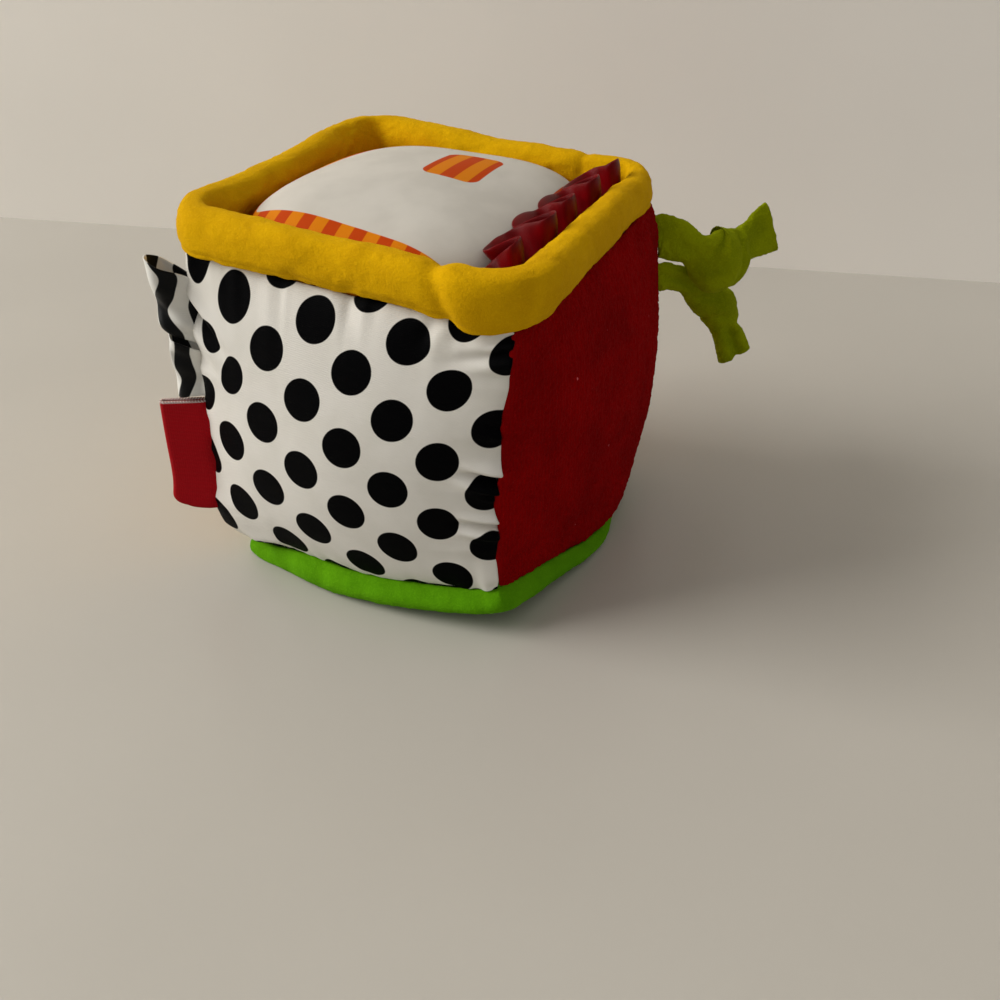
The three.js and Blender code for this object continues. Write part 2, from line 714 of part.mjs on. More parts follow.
// The two halves of the capsule lap over each other at the middle
function rattleShellGeometry(upper) {
  const inner = rattle.radius - rattle.wall;
  const step = inner + (rattle.wall - rattle.lapGap) / 2;
  const outerStep = step + rattle.lapGap;
  const edge = rattle.lap / 2;
  const profile = upper
    ? [
        ...arc(rattle.radius, Math.PI / 2, Math.asin((edge + rattle.lapGap) / rattle.radius), shellArcSteps),
        new THREE.Vector2(step, edge + rattle.lapGap),
        new THREE.Vector2(step, -edge + rattle.lapGap),
        ...arc(inner, -Math.asin((edge - rattle.lapGap) / inner), Math.PI / 2, shellArcSteps),
      ]
    : [
        ...arc(inner, -Math.PI / 2, -Math.asin(edge / inner), shellArcSteps),
        new THREE.Vector2(outerStep, -edge),
        new THREE.Vector2(outerStep, edge),
        ...arc(rattle.radius, Math.asin(edge / rattle.radius), -Math.PI / 2, shellArcSteps),
      ];
  for (const p of profile) if (Math.abs(p.x) < tiny) p.x = 0;
  const shell = new THREE.LatheGeometry(profile.reverse(), rattleSegments);
  shell.rotateX(Math.PI / 2);
  shell.translate(0, 0, rattle.height);
  return shell;
}

function beadGeometry(i) {
  const floor = rattle.radius - rattle.wall - bead.gap - bead.radius;
  const ringRadius = (bead.radius + bead.gap / 2) / Math.sin(Math.PI / beadCount);
  const turn = (2 * Math.PI * i) / beadCount;
  const ball = new THREE.SphereGeometry(bead.radius, beadSegments, shellArcSteps);
  const drop = Math.sqrt(floor ** 2 - ringRadius ** 2);
  ball.translate(ringRadius * Math.cos(turn), ringRadius * Math.sin(turn), rattle.height - drop);
  return ball;
}

function material(color, roughness, metalness = 0) {
  return new THREE.MeshStandardMaterial({ color, roughness, metalness });
}

const dottedSatin = material(0xe9e7e0, 0.5);
const redTerry = material(0xa00810, 0.95);
const stripedSatin = material(0xf28a12, 0.5);
const yellowVelour = material(0xe3ac06, 0.95);
const greenVelour = material(0x62b80f, 0.95);
const redSatin = material(0x8f0a14, 0.35);
const wovenLabel = material(0xb01020, 0.7);
const zebraRibbon = material(0xd8d8d2, 0.45);
const fibre = material(0xf2f2ee, 1);
const clearPlastic = material(0xd9dde0, 0.3);
const beadPlastic = material(0x3b6fb5, 0.35);

const block = new THREE.Group();
function add(name, geometry, look) {
  geometry.computeVertexNormals();
  const mesh = new THREE.Mesh(geometry, look);
  mesh.name = name;
  block.add(mesh);
}

add("front_panel", panelGeometry("front"), dottedSatin);
add("right_panel", panelGeometry("right"), redTerry);
add("back_panel", panelGeometry("back"), stripedSatin);
add("left_panel", panelGeometry("left"), yellowVelour);
add("top_panel", panelGeometry("top"), stripedSatin);
add("bottom_panel", panelGeometry("bottom"), greenVelour);
add("collar_cover", collarCoverGeometry(), yellowVelour);
add("collar_padding", collarPaddingGeometry(), fibre);
add("ruffle", ruffleGeometry(), redSatin);
add("ribbon_loop_upper", loopGeometry(upperLoop, upperRootHigh), zebraRibbon);
add("ribbon_loop_lower", loopGeometry(lowerLoop, lowerRootHigh), zebraRibbon);
add("label_loop", labelGeometry(), wovenLabel);
const upperStrip = tailGeometry(upperTailHeight, upperTailReach, upperTailShares, upperKnotRow);
add("tail_upper", upperStrip, greenVelour);
const lowerStrip = tailGeometry(lowerTailHeight, lowerTailReach, lowerTailShares, lowerKnotRow);
add("tail_lower", lowerStrip, greenVelour);
const [fillLower, fillUpper] = fillGeometries();
add("fill_lower", fillLower, fibre);
add("fill_upper", fillUpper, fibre);
add("rattle_shell_lower", rattleShellGeometry(false), clearPlastic);
add("rattle_shell_upper", rattleShellGeometry(true), clearPlastic);
for (let i = 0; i < beadCount; i += 1) add(`rattle_bead_${i + 1}`, beadGeometry(i), beadPlastic);

export default block;
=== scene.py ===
# A soft fabric activity block: sewn satin and velour sides, padded collar, ruffle, ribbon loops, label and
# knotted tails. Sizes are in millimetres unless a name says otherwise, in the frame's own axes.
import math
import bpy
import numpy as np
from mathutils import Matrix, Vector


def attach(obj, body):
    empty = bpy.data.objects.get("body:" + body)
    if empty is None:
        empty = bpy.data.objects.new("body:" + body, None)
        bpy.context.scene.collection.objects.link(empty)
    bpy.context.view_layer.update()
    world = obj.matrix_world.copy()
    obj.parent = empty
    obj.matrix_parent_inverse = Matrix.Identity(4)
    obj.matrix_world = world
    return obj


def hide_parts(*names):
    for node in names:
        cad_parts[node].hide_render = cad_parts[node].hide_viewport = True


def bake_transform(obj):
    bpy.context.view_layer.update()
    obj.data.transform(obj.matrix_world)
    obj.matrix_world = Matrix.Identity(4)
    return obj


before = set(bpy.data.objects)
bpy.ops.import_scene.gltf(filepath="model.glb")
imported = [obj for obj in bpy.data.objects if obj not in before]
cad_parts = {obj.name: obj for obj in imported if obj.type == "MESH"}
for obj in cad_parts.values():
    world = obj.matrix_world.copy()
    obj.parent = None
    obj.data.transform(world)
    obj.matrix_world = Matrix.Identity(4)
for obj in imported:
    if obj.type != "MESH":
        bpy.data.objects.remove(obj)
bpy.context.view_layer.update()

MM = 0.001
AXIS_X, AXIS_Y, AXIS_Z = np.eye(3)

# Sizes of the sewn envelope, measured at its seams

TOP_WIDTH, TOP_DEPTH = 92.6, 88.4
BOTTOM_WIDTH, BOTTOM_DEPTH = 88.0, 89.4
TOP_HEIGHT, BOTTOM_HEIGHT = 86.8, 8.6
TOP_BOW, BOTTOM_BOW = 1.6, 3.8
NEAR_DRIFT, RISE, SLUMP, TUCK = 2.4, 5.0, 5.0, 3.6
FRONT_LEFT, FRONT_RIGHT, BACK_RIGHT, BACK_LEFT = (-1, -1), (1, -1), (1, 1), (-1, 1)
RISE_SHARES = {FRONT_LEFT: 1.0, FRONT_RIGHT: 0.0, BACK_RIGHT: 0.5, BACK_LEFT: 0.8}
SLUMP_SHARES = {FRONT_LEFT: -0.8, FRONT_RIGHT: 0.95, BACK_RIGHT: 0.0, BACK_LEFT: 0.0}
TUCK_SHARES = {FRONT_LEFT: 0.0, FRONT_RIGHT: 1.0, BACK_RIGHT: -0.3, BACK_LEFT: 0.0}
SIDE_BOWS = {FRONT_LEFT: 1.1, FRONT_RIGHT: 0.0, BACK_RIGHT: 2.0, BACK_LEFT: 1.6}
SAG_SHARES = {FRONT_LEFT: 2.0, FRONT_RIGHT: 0.3, BACK_RIGHT: 0.0, BACK_LEFT: 0.5}
CROWNS = {"front": 7.4, "right": 7.0, "back": 7.0, "left": 6.6, "top": 14.6, "bottom": 16.0}
SIDE_POWER, TOP_POWER, BOTTOM_POWER = 0.68, 0.4, 0.26
TOP_SQUARENESS = 3.2
BOTTOM_SWELL, BOTTOM_SWELL_SHARE = 3.8, 0.75
DRAWN_IN, DRAWN_X, DRAWN_Y = 1.6, (0.0, 30.0), (-5.0, 30.0)
NORMALS = {
    "front": -AXIS_Y, "right": AXIS_X, "back": AXIS_Y, "left": -AXIS_X, "top": AXIS_Z, "bottom": -AXIS_Z,
}
SIDE_HALF = (TOP_HEIGHT - BOTTOM_HEIGHT) / 2
CENTRE = np.array([0.0, 0.0, TOP_HEIGHT / 2])

# The collar's section and its path round the top seam
COLLAR_HALF, COLLAR_HEIGHT, COLLAR_LEAN = 4.9, 15.0, 2.4
COLLAR_OUTSET, COLLAR_RADIUS, COLLAR_SQUARENESS = 0.6, 12.0, 2.5
COLLAR_HEIGHT_SHARES = [0.82, 0.68, 0.69, 0.87, 0.78, 0.8, 0.85, 0.84]
COLLAR_THICKNESS_SHARES = [0.9, 0.75, 0.92, 1, 1, 1, 1, 1]
COLLAR_LEAN_SHARES = [0.1, 0.7, 0.2, -0.3, 0.5, 0.9, 0.2, -0.5]
COLLAR_REACH = COLLAR_HALF - COLLAR_OUTSET
PLAIN_BORDER = COLLAR_REACH + 0.7
RUFFLED_BORDER = COLLAR_REACH + 6.4
SEWN_GAP = 0.35


# Numbers: smooth noise and curves

NOISE_TABLE = np.random.default_rng(7).uniform(-1, 1, 4096)


def noise(points, cell, seed=0):
    """Smooth noise from -1 to 1 at points of 1 to 3 coordinates; it repeats for the same seed."""
    q = np.asarray(points, float) / cell
    base = np.floor(q).astype(np.int64)
    part = q - base
    part = part * part * (3 - 2 * part)
    primes = np.array([73856093, 19349663, 83492791])[: q.shape[-1]]
    total = np.zeros(q.shape[:-1])
    for k in range(2 ** q.shape[-1]):
        bits = np.array([(k >> i) & 1 for i in range(q.shape[-1])])
        weight = np.prod(np.where(bits, part, 1 - part), axis=-1)
        key = ((base + bits) * primes).sum(axis=-1) + seed * 7919
        total += weight * NOISE_TABLE[key % len(NOISE_TABLE)]
    return total


def lumps(points, size, cell, seed):
    return size * noise(points, cell, seed)


def smooth(x):
    x = np.clip(x, 0, 1)
    return x * x * (3 - 2 * x)


def ramp(value, start, end):
    """Runs smoothly from 0 at start to 1 at end, which may be the lower of the two."""
    return smooth((value - start) / (end - start))


def bell(value, place, reach):
    """1 at the place, dying out on both sides of it within the reach."""
    return np.exp(-(((value - place) / reach) ** 2))


def unit(v):
    return v / np.maximum(1e-12, np.linalg.norm(v, axis=-1, keepdims=True))


# The envelope's surfaces; u and v run from -1 to 1

def corner(sx, sy, sz):
    if sz > 0:
        return np.array([sx * TOP_WIDTH / 2, sy * TOP_DEPTH / 2, TOP_HEIGHT + RISE * RISE_SHARES[sx, sy]])
    x = sx * (BOTTOM_WIDTH / 2 - TUCK * TUCK_SHARES[sx, sy])
    return np.array([x, sy * BOTTOM_DEPTH / 2, BOTTOM_HEIGHT + SLUMP * SLUMP_SHARES[sx, sy]])


def border_height(x, y):
    """How high the top's flat border stands at a place inside or just outside its seams."""
    a, b = 0.5 + x / TOP_WIDTH, 0.5 + y / TOP_DEPTH
    near = RISE_SHARES[FRONT_LEFT] * (1 - a) + RISE_SHARES[FRONT_RIGHT] * a
    far = RISE_SHARES[BACK_LEFT] * (1 - a) + RISE_SHARES[BACK_RIGHT] * a
    return TOP_HEIGHT + RISE * (near * (1 - b) + far * b)


def seam(start, end, bow, t, sag=0.0):
    t = np.asarray(t, float)[..., None]
    return start + (end - start) * (1 + t) / 2 + bow * (1 - t * t) * (1 - sag * t)


def vertical_seam(sx, sy, t):
    drift = NEAR_DRIFT if (sx, sy) == FRONT_RIGHT else 0.0
    bow = np.array([sx * SIDE_BOWS[sx, sy] - drift, sy * SIDE_BOWS[sx, sy], 0.0])
    return seam(corner(sx, sy, -1), corner(sx, sy, 1), bow, t, SAG_SHARES[sx, sy])


def seam_share(sx, sy, height):
    """How far up a vertical seam a height lies, from -1 to 1."""
    low, high = corner(sx, sy, -1)[2], corner(sx, sy, 1)[2]
    return 2 * (np.asarray(height, float) - low) / (high - low) - 1


def level_seam(a, b, sz, normal, t):
    size = TOP_BOW if sz > 0 else BOTTOM_BOW
    return seam(corner(*a, sz), corner(*b, sz), normal * size, t)


def patch(low, high, start, end, u, v):
    """The surface spanned by four seams."""
    a, b = ((1 - u) / 2)[..., None], ((1 + u) / 2)[..., None]
    c, d = ((1 - v) / 2)[..., None], ((1 + v) / 2)[..., None]
    edges = low(u) * c + high(u) * d + start(v) * a + end(v) * b
    return edges - low(-1.0) * a * c - low(1.0) * b * c - high(-1.0) * a * d - high(1.0) * b * d


def pillow(u, v, power):
    return np.maximum(0, (1 - u * u) * (1 - v * v)) ** power


def side_point(name, u, v):
    n = NORMALS[name]
    nx, ny = int(n[0]), int(n[1])
    a, b = ((ny, ny), (-ny, ny)) if ny else ((nx, -nx), (nx, nx))
    flat = patch(
        lambda t: level_seam(a, b, -1, n, t),
        lambda t: level_seam(a, b, 1, n, t),
        lambda t: vertical_seam(*a, t),
        lambda t: vertical_seam(*b, t),
        u, v,
    )
    return flat + n * (CROWNS[name] * pillow(u, v, SIDE_POWER))[..., None]


def level_point(s, u, v):
    """The top (s 1) or the bottom (s -1) between its four seams; v runs along s times +Y."""
    return patch(
        lambda t: level_seam((-1, -s), (1, -s), s, -s * AXIS_Y, t),
        lambda t: level_seam((-1, s), (1, s), s, s * AXIS_Y, t),
        lambda t: level_seam((-1, -s), (-1, s), s, -AXIS_X, t),
        lambda t: level_seam((1, -s), (1, s), s, AXIS_X, t),
        u, v,
    )


# How the filled block has settled. Each pair of places is where a change starts and where it is full
FOOT_HEIGHTS, SEAM_HEIGHT = (34.0, 9.0), 9.0
RED_HALF, FRONT_STRIP = (0.0, 40.0), (-25.0, -37.0)
RED_BELLY, RED_BELLY_PLACE, RED_BELLY_REACH = 1.8, 10.0, 22.0
RED_DIP, RED_DIP_PLACE, RED_DIP_REACH = 6.6, 4.0, 26.0
RED_TUCK, RED_TUCK_ALONG, RED_TUCK_POWER = 8.5, (22.0, 46.0), 2.8
FRONT_LIFT, FRONT_LIFT_PLACE, FRONT_LIFT_REACH = 3.0, -19.0, 13.0
LEFT_BELLY, LEFT_BELLY_PLACE, LEFT_BELLY_WIDTH = 1.9, (-46.0, -46.0), 16.0
LEFT_BELLY_HEIGHT, LEFT_BELLY_REACH, LEFT_BELLY_FOOT = 15.5, 8.0, (7.0, 12.0)
# The base lies further in under the front's left and under the red side's back: its shift along x and y, and
# its place along x, y and z
BASE_TUCKS = [
    (3.2, ((-5.0, -35.0), (-15.0, -40.0), (9.0, 1.0))),
    (-1.8, ((5.0, 35.0), (5.0, 35.0), (8.0, 2.0))),
]
# The near seam puckers across the line of sight, but not at its ends
PUCKER, PUCKER_CELL, PUCKER_REACH, PUCKER_END = 0.9, 8.0, 7.0, 6.0
ACROSS_VIEW = np.array([0.89, 0.45, 0.0])


def near_seam_gap(points):
    """How far points lie from the near seam, seen from above."""
    near = vertical_seam(*FRONT_RIGHT, np.clip(seam_share(*FRONT_RIGHT, points[..., 2]), -1, 1))
    return np.linalg.norm((points - near)[..., :2], axis=-1)


def settled(points):
    """The envelope's points after the foot has sagged and the near seam has puckered."""
    x, y, z = np.moveaxis(points, -1, 0)
    moved = points.copy()
    low_down = ramp(z, *FOOT_HEIGHTS)
    foot = low_down * ramp(x, *RED_HALF)
    tuck = RED_TUCK * foot**RED_TUCK_POWER * ramp(y, *RED_TUCK_ALONG)
    moved[..., 0] += foot * RED_BELLY * bell(y, RED_BELLY_PLACE, RED_BELLY_REACH) - tuck
    at_seam = np.clip(z / SEAM_HEIGHT, 0, 1)
    moved[..., 2] -= foot * RED_DIP * bell(y, RED_DIP_PLACE, RED_DIP_REACH) * at_seam
    lift = FRONT_LIFT * bell(x, FRONT_LIFT_PLACE, FRONT_LIFT_REACH) * at_seam
    moved[..., 2] += low_down * ramp(y, *FRONT_STRIP) * lift
    for shift, ranges in BASE_TUCKS:
        under = math.prod(ramp(value, *span) for value, span in zip((x, y, z), ranges))
        moved[..., :2] += (shift * under)[..., None]
    belly = LEFT_BELLY * bell(z, LEFT_BELLY_HEIGHT, LEFT_BELLY_REACH) * ramp(z, *LEFT_BELLY_FOOT)
    to_left = np.hypot(x - LEFT_BELLY_PLACE[0], y - LEFT_BELLY_PLACE[1])
    moved[..., :2] -= (belly * bell(to_left, 0, LEFT_BELLY_WIDTH))[..., None]
    low, high = corner(*FRONT_RIGHT, -1)[2], corner(*FRONT_RIGHT, 1)[2]
    pucker = PUCKER * noise(z[..., None], PUCKER_CELL, 51) * bell(near_seam_gap(points), 0, PUCKER_REACH)
    inside = ramp(z, low, low + PUCKER_END) * ramp(z, high, high - PUCKER_END)
    return moved + (pucker * inside)[..., None] * ACROSS_VIEW


def raised(u, half, low, high):
    middle = (low - high) / 2
    return np.clip((u * half - middle) / (half - (low + high) / 2), -1, 1)


def top_point(u, v):
    point = level_point(1, u, v)
    across = raised(u, TOP_WIDTH / 2, PLAIN_BORDER, RUFFLED_BORDER)
    along = raised(v, TOP_DEPTH / 2, PLAIN_BORDER, PLAIN_BORDER)
    # Rounded corners: a dome over a plan between a circle and a square
    reach = (np.abs(across) ** TOP_SQUARENESS + np.abs(along) ** TOP_SQUARENESS) ** (2 / TOP_SQUARENESS)
    point[..., 2] += CROWNS["top"] * np.maximum(0, 1 - reach) ** TOP_POWER
    return point


def bottom_point(u, v):
    point = level_point(-1, u, v)
    drop = pillow(u, v, BOTTOM_POWER)
    # The base swells less, and then draws in, towards the back of the red side
    drawn = DRAWN_IN * ramp(point[..., 1], *DRAWN_Y) * ramp(point[..., 0], *DRAWN_X)
    outward = (1 - drawn)[..., None] * point * np.array([1, 1, 0]) / (BOTTOM_DEPTH / 2)
    swell = BOTTOM_SWELL * np.sin(math.pi * np.minimum(1, drop / BOTTOM_SWELL_SHARE))
    point += outward * swell[..., None]
    point[..., 2] = np.maximum(point[..., 2] - CROWNS["bottom"] * drop, 0)
    return point


def face_point(name, u, v):
    if name == "top":
        return top_point(u, v)
    if name == "bottom":
        return settled(bottom_point(u, v))
    return settled(side_point(name, u, v))


# Meshes

SMOOTH_STRIP = (0.6, 3.0)


def grid_faces(rows, columns, wrap_rows=False, wrap_columns=False):
    r = np.arange(rows if wrap_rows else rows - 1)
    c = np.arange(columns if wrap_columns else columns - 1)
    r, c = [x.ravel() for x in np.meshgrid(r, c, indexing="ij")]
    r2, c2 = (r + 1) % rows, (c + 1) % columns
    return np.stack([r * columns + c, r * columns + c2, r2 * columns + c2, r2 * columns + c], axis=1)


def new_mesh(name, points, faces, uv=None):
    """A smooth mesh from points in millimetres; uv holds cloth coordinates in millimetres, one per point."""
    mesh = bpy.data.meshes.new(name)
    places = (np.asarray(points).reshape(-1, 3) * MM).tolist()
    mesh.from_pydata(places, [], [list(map(int, face)) for face in faces])
    if uv is not None:
        layer = mesh.uv_layers.new(name="cloth")
        index = np.zeros(len(mesh.loops), np.int32)
        mesh.loops.foreach_get("vertex_index", index)
        layer.data.foreach_set("uv", np.asarray(uv, float).reshape(-1, 2)[index].ravel())
    mesh.polygons.foreach_set("use_smooth", [True] * len(mesh.polygons))
    mesh.update()
    return mesh


def new_object(name, data):
    made = bpy.data.objects.new(name, data)
    bpy.context.collection.objects.link(made)
    return made


def new_piece(name, mesh, material):
    mesh.materials.append(material)
    return new_object(name, mesh)


def coordinates(mesh):
    flat = np.zeros(len(mesh.vertices) * 3)
    mesh.vertices.foreach_get("co", flat)
    return flat.reshape(-1, 3)


def move_points(mesh, points):
    mesh.vertices.foreach_set("co", points.ravel())
    mesh.update()


def refined(piece, levels=1):
    """Turns the piece's mesh into its subdivided form."""
    modifier = piece.modifiers.new("refine", "SUBSURF")
    modifier.levels = modifier.render_levels = levels
    evaluated = piece.evaluated_get(bpy.context.evaluated_depsgraph_get())
    mesh = bpy.data.meshes.new_from_object(evaluated)
    piece.modifiers.clear()
    old, piece.data = piece.data, mesh
    bpy.data.meshes.remove(old)
    return piece


def thickened(piece, thickness):
    """Gives the piece's single sheet of cloth a thickness."""
    modifier = piece.modifiers.new("thick", "SOLIDIFY")
    modifier.thickness = thickness * MM
    modifier.offset = 0
    return refined(piece, 0)


def add_nap(piece, height, cell, seed):
    """Roughens the cloth, as tufts of pile stand a little differently, except beside the near seam."""
    mesh = piece.data
    points = coordinates(mesh) / MM
    normals = np.zeros(len(mesh.vertices) * 3)
    mesh.vertices.foreach_get("normal", normals)
    tufts = noise(points, cell, seed) + 0.6 * noise(points, cell / 2.1, seed + 1)
    tufts *= ramp(near_seam_gap(points), *SMOOTH_STRIP)
    points += normals.reshape(-1, 3) * (height * tufts)[:, None]
    move_points(mesh, points * MM)
    return piece


# Cloth under pressure

# The solver runs on copies ten times larger, which it handles better than such small ones
SIM_SCALE, SIM_FRAMES, SIM_QUALITY, SIM_STIFFNESS = 10.0, 14, 6, 1.5
# (piece, numbers of its pinned points, pressure, share by which its cloth may grow, cap in millimetres)
waiting = []


def inflate_all():
    """Runs the waiting pieces as cloth with pressure, and keeps each point within its piece's cap."""
    if not waiting:
        return
    scene = bpy.context.scene
    copies = []
    for piece, pinned, pressure, growth, _ in waiting:
        mesh = piece.data.copy()
        mesh.transform(Matrix.Scale(SIM_SCALE, 4))
        copy = new_object(piece.name + "_cloth", mesh)
        copy.vertex_groups.new(name="pinned").add([int(i) for i in pinned], 1.0, "REPLACE")
        modifier = copy.modifiers.new("cloth", "CLOTH")
        settings = modifier.settings
        settings.quality = SIM_QUALITY
        settings.vertex_group_mass = "pinned"
        settings.shrink_min = -growth
        settings.use_pressure = True
        settings.uniform_pressure_force = pressure
        settings.bending_stiffness = SIM_STIFFNESS
        settings.effector_weights.gravity = 0
        modifier.point_cache.frame_end = SIM_FRAMES
        copies.append(copy)
    for number in range(1, SIM_FRAMES + 1):
        scene.frame_set(number)
    graph = bpy.context.evaluated_depsgraph_get()
    for copy, (piece, _, _, _, cap) in zip(copies, waiting):
        start = coordinates(piece.data)
        moved = coordinates(copy.evaluated_get(graph).data) / SIM_SCALE - start
        size = np.linalg.norm(moved, axis=1, keepdims=True)
        limit = cap * MM
        moved *= limit * np.tanh(size / limit) / np.maximum(size, 1e-9)
        print("cloth", piece.name, "moved up to", round(float(size.max()) / MM, 2), "mm")
        move_points(piece.data, start + moved)
        mesh = copy.data
        bpy.data.objects.remove(copy)
        bpy.data.meshes.remove(mesh)
    scene.frame_set(1)


# Materials

class Graph:
    """A material's node tree with short calls for the nodes that cloth needs."""

    def __init__(self, name, roughness, sheen=0.0, sheen_roughness=0.4, specular=0.5, tint=(1, 1, 1)):
        self.material = bpy.data.materials.new(name)
        self.material.use_nodes = True
        self.tree = self.material.node_tree
        self.shader = self.tree.nodes["Principled BSDF"]
        for socket, value in (
            ("Roughness", roughness), ("Specular IOR Level", specular),
            ("Sheen Weight", sheen), ("Sheen Roughness", sheen_roughness), ("Sheen Tint", (*tint, 1)),
        ):
            self.shader.inputs[socket].default_value = value

    def set(self, node, number, value):
        """Links a socket to the node's input, or sets the input to a value."""
        if isinstance(value, bpy.types.NodeSocket):
            self.tree.links.new(value, node.inputs[number])
        elif value is not None:
            node.inputs[number].default_value = value

    def math(self, operation, a, b=None, c=None):
        node = self.tree.nodes.new("ShaderNodeMath")
        node.operation = operation
        for number, value in enumerate((a, b, c)):
            self.set(node, number, value)
        return node.outputs[0]

    def times(self, a, b):
        return self.math("MULTIPLY", a, b)

    def wave(self, along, pitch):
        return self.math("SINE", self.times(along, 2 * math.pi / pitch))

    def vector(self, operation, a, b=None, c=None, scale=None):
        node = self.tree.nodes.new("ShaderNodeVectorMath")
        node.operation = operation
        for number, value in enumerate((a, b, c)):
            self.set(node, number, value)
        if scale is not None:
            self.set(node, "Scale", scale)
        return node.outputs["Value" if operation in ("LENGTH", "DISTANCE", "DOT_PRODUCT") else 0]

    def cloth(self):
        """The piece's cloth coordinates, in millimetres."""
        node = self.tree.nodes.new("ShaderNodeUVMap")
        node.uv_map = "cloth"
        return node.outputs[0]

    def place(self):
        """The place in the frame, in millimetres."""
        node = self.tree.nodes.new("ShaderNodeTexCoord")
        return self.vector("SCALE", node.outputs["Object"], scale=1 / MM)

    def parts(self, vector):
        node = self.tree.nodes.new("ShaderNodeSeparateXYZ")
        self.set(node, 0, vector)
        return node.outputs

    def joined(self, x, y, z=0.0):
        node = self.tree.nodes.new("ShaderNodeCombineXYZ")
        for number, value in enumerate((x, y, z)):
            self.set(node, number, value)
        return node.outputs[0]

    def noise(self, vector, cell, detail=2.0, roughness=0.5, distortion=0.0):
        node = self.tree.nodes.new("ShaderNodeTexNoise")
        for socket, value in (
            ("Vector", vector), ("Scale", 1 / cell),
            ("Detail", detail), ("Roughness", roughness), ("Distortion", distortion),
        ):
            self.set(node, socket, value)
        return node.outputs[0]

    def cells(self, vector, cell):
        node = self.tree.nodes.new("ShaderNodeTexVoronoi")
        self.set(node, "Vector", vector)
        node.inputs["Scale"].default_value = 1 / cell
        return node.outputs["Distance"]

    def step(self, value, low, high):
        """Runs smoothly from 0 at low to 1 at high."""
        node = self.tree.nodes.new("ShaderNodeMapRange")
        node.interpolation_type = "SMOOTHSTEP"
        self.set(node, "Value", value)
        node.inputs["From Min"].default_value = low
        node.inputs["From Max"].default_value = high
        return node.outputs[0]

    def mix(self, share, a, b):
        node = self.tree.nodes.new("ShaderNodeMix")
        node.data_type = "RGBA"
        self.set(node, 0, share)
        for number, value in ((6, a), (7, b)):
            if isinstance(value, tuple):
                value = (*value, 1.0)
            self.set(node, number, value)
        return node.outputs[2]

    def colour(self, socket):
        self.tree.links.new(socket, self.shader.inputs["Base Color"])

    def gloss(self, socket):
        self.tree.links.new(socket, self.shader.inputs["Specular IOR Level"])

    def bump(self, height, distance, strength=1.0):
        node = self.tree.nodes.new("ShaderNodeBump")
        node.inputs["Strength"].default_value = strength
        node.inputs["Distance"].default_value = distance * MM
        self.set(node, "Height", height)
        old = self.shader.inputs["Normal"]
        if old.is_linked:
            self.set(node, "Normal", old.links[0].from_socket)
        self.tree.links.new(node.outputs[0], old)


def rgb(red, green, blue):
    """A colour as it is seen, from 0 to 255, turned to the linear values that a shader takes."""
    seen = [x / 255 for x in (red, green, blue)]
    return tuple(x / 12.92 if x <= 0.04045 else ((x + 0.055) / 1.055) ** 2.4 for x in seen)


WHITE_SATIN, SHADED_SATIN = rgb(226, 222, 213), rgb(219, 215, 205)
# The pad's whites are darker copies of the sides' white satin: painted shade on the top
PAD_WHITE_PAINTED_SHADE, PAD_STAIN_PAINTED_SHADE = rgb(204, 199, 189), rgb(195, 190, 180)
BLACK_PRINT = rgb(3, 3, 4)
ORANGE, AMBER = rgb(186, 62, 0), rgb(212, 122, 1)
DOT_RADIUS, DOT_PITCH, DOT_WOBBLE = 5.4, (12.5, 9.6), 0.16
SATIN_PITCH, STRIPE_WIDTH = 0.46, 3.8
PRINT_EDGE, STRIPE_EDGE = 0.12, 0.15


def add_weave(graph, cloth, pitch, depth):
    """Fine crossing threads, one pitch apart."""
    x, y, _ = graph.parts(cloth)
    threads = graph.times(graph.wave(x, pitch), graph.wave(graph.math("MULTIPLY_ADD", x, 0.5, y), pitch))
    graph.bump(threads, depth, 0.6)
    return threads


def satin_white(graph, cloth, threads, light=WHITE_SATIN, dark=SHADED_SATIN):
    stain = graph.noise(cloth, 14.0, 3.0)
    shade = graph.mix(graph.step(stain, 0.35, 0.7), light, dark)
    return graph.mix(graph.times(graph.step(threads, 0.2, 1.0), 0.16), shade, rgb(180, 178, 168))


def stripes(graph, across):
    """Orange and amber stripes with a slightly uneven printed edge."""
    phase = graph.math("PINGPONG", across, STRIPE_WIDTH)
    half = STRIPE_WIDTH / 2
    return graph.mix(graph.step(phase, half - STRIPE_EDGE, half + STRIPE_EDGE), ORANGE, AMBER)


def dotted_satin():
    """White satin with black dots in a half-drop; their edges wobble a little, and they shine less."""
    graph = Graph("dotted satin", 0.5)
    cloth = graph.cloth()
    threads = add_weave(graph, cloth, SATIN_PITCH, 0.05)
    wobble = graph.math("MULTIPLY_ADD", graph.noise(cloth, 5.0, 1.0), DOT_WOBBLE, -DOT_WOBBLE / 2)
    pitch = (*DOT_PITCH, 1.0)
    minus = tuple(-length for length in pitch)
    first = graph.vector("LENGTH", graph.vector("WRAP", cloth, pitch, minus))
    shifted = graph.vector("ADD", cloth, (*DOT_PITCH, 0.0))
    second = graph.vector("LENGTH", graph.vector("WRAP", shifted, pitch, minus))
    edge = graph.math("ADD", graph.math("MINIMUM", first, second), wobble)
    inside = graph.step(edge, DOT_RADIUS + PRINT_EDGE, DOT_RADIUS - PRINT_EDGE)
    graph.gloss(graph.math("MULTIPLY_ADD", inside, -0.22, 0.24))
    graph.colour(graph.mix(inside, satin_white(graph, cloth, threads), BLACK_PRINT))
    return graph.material


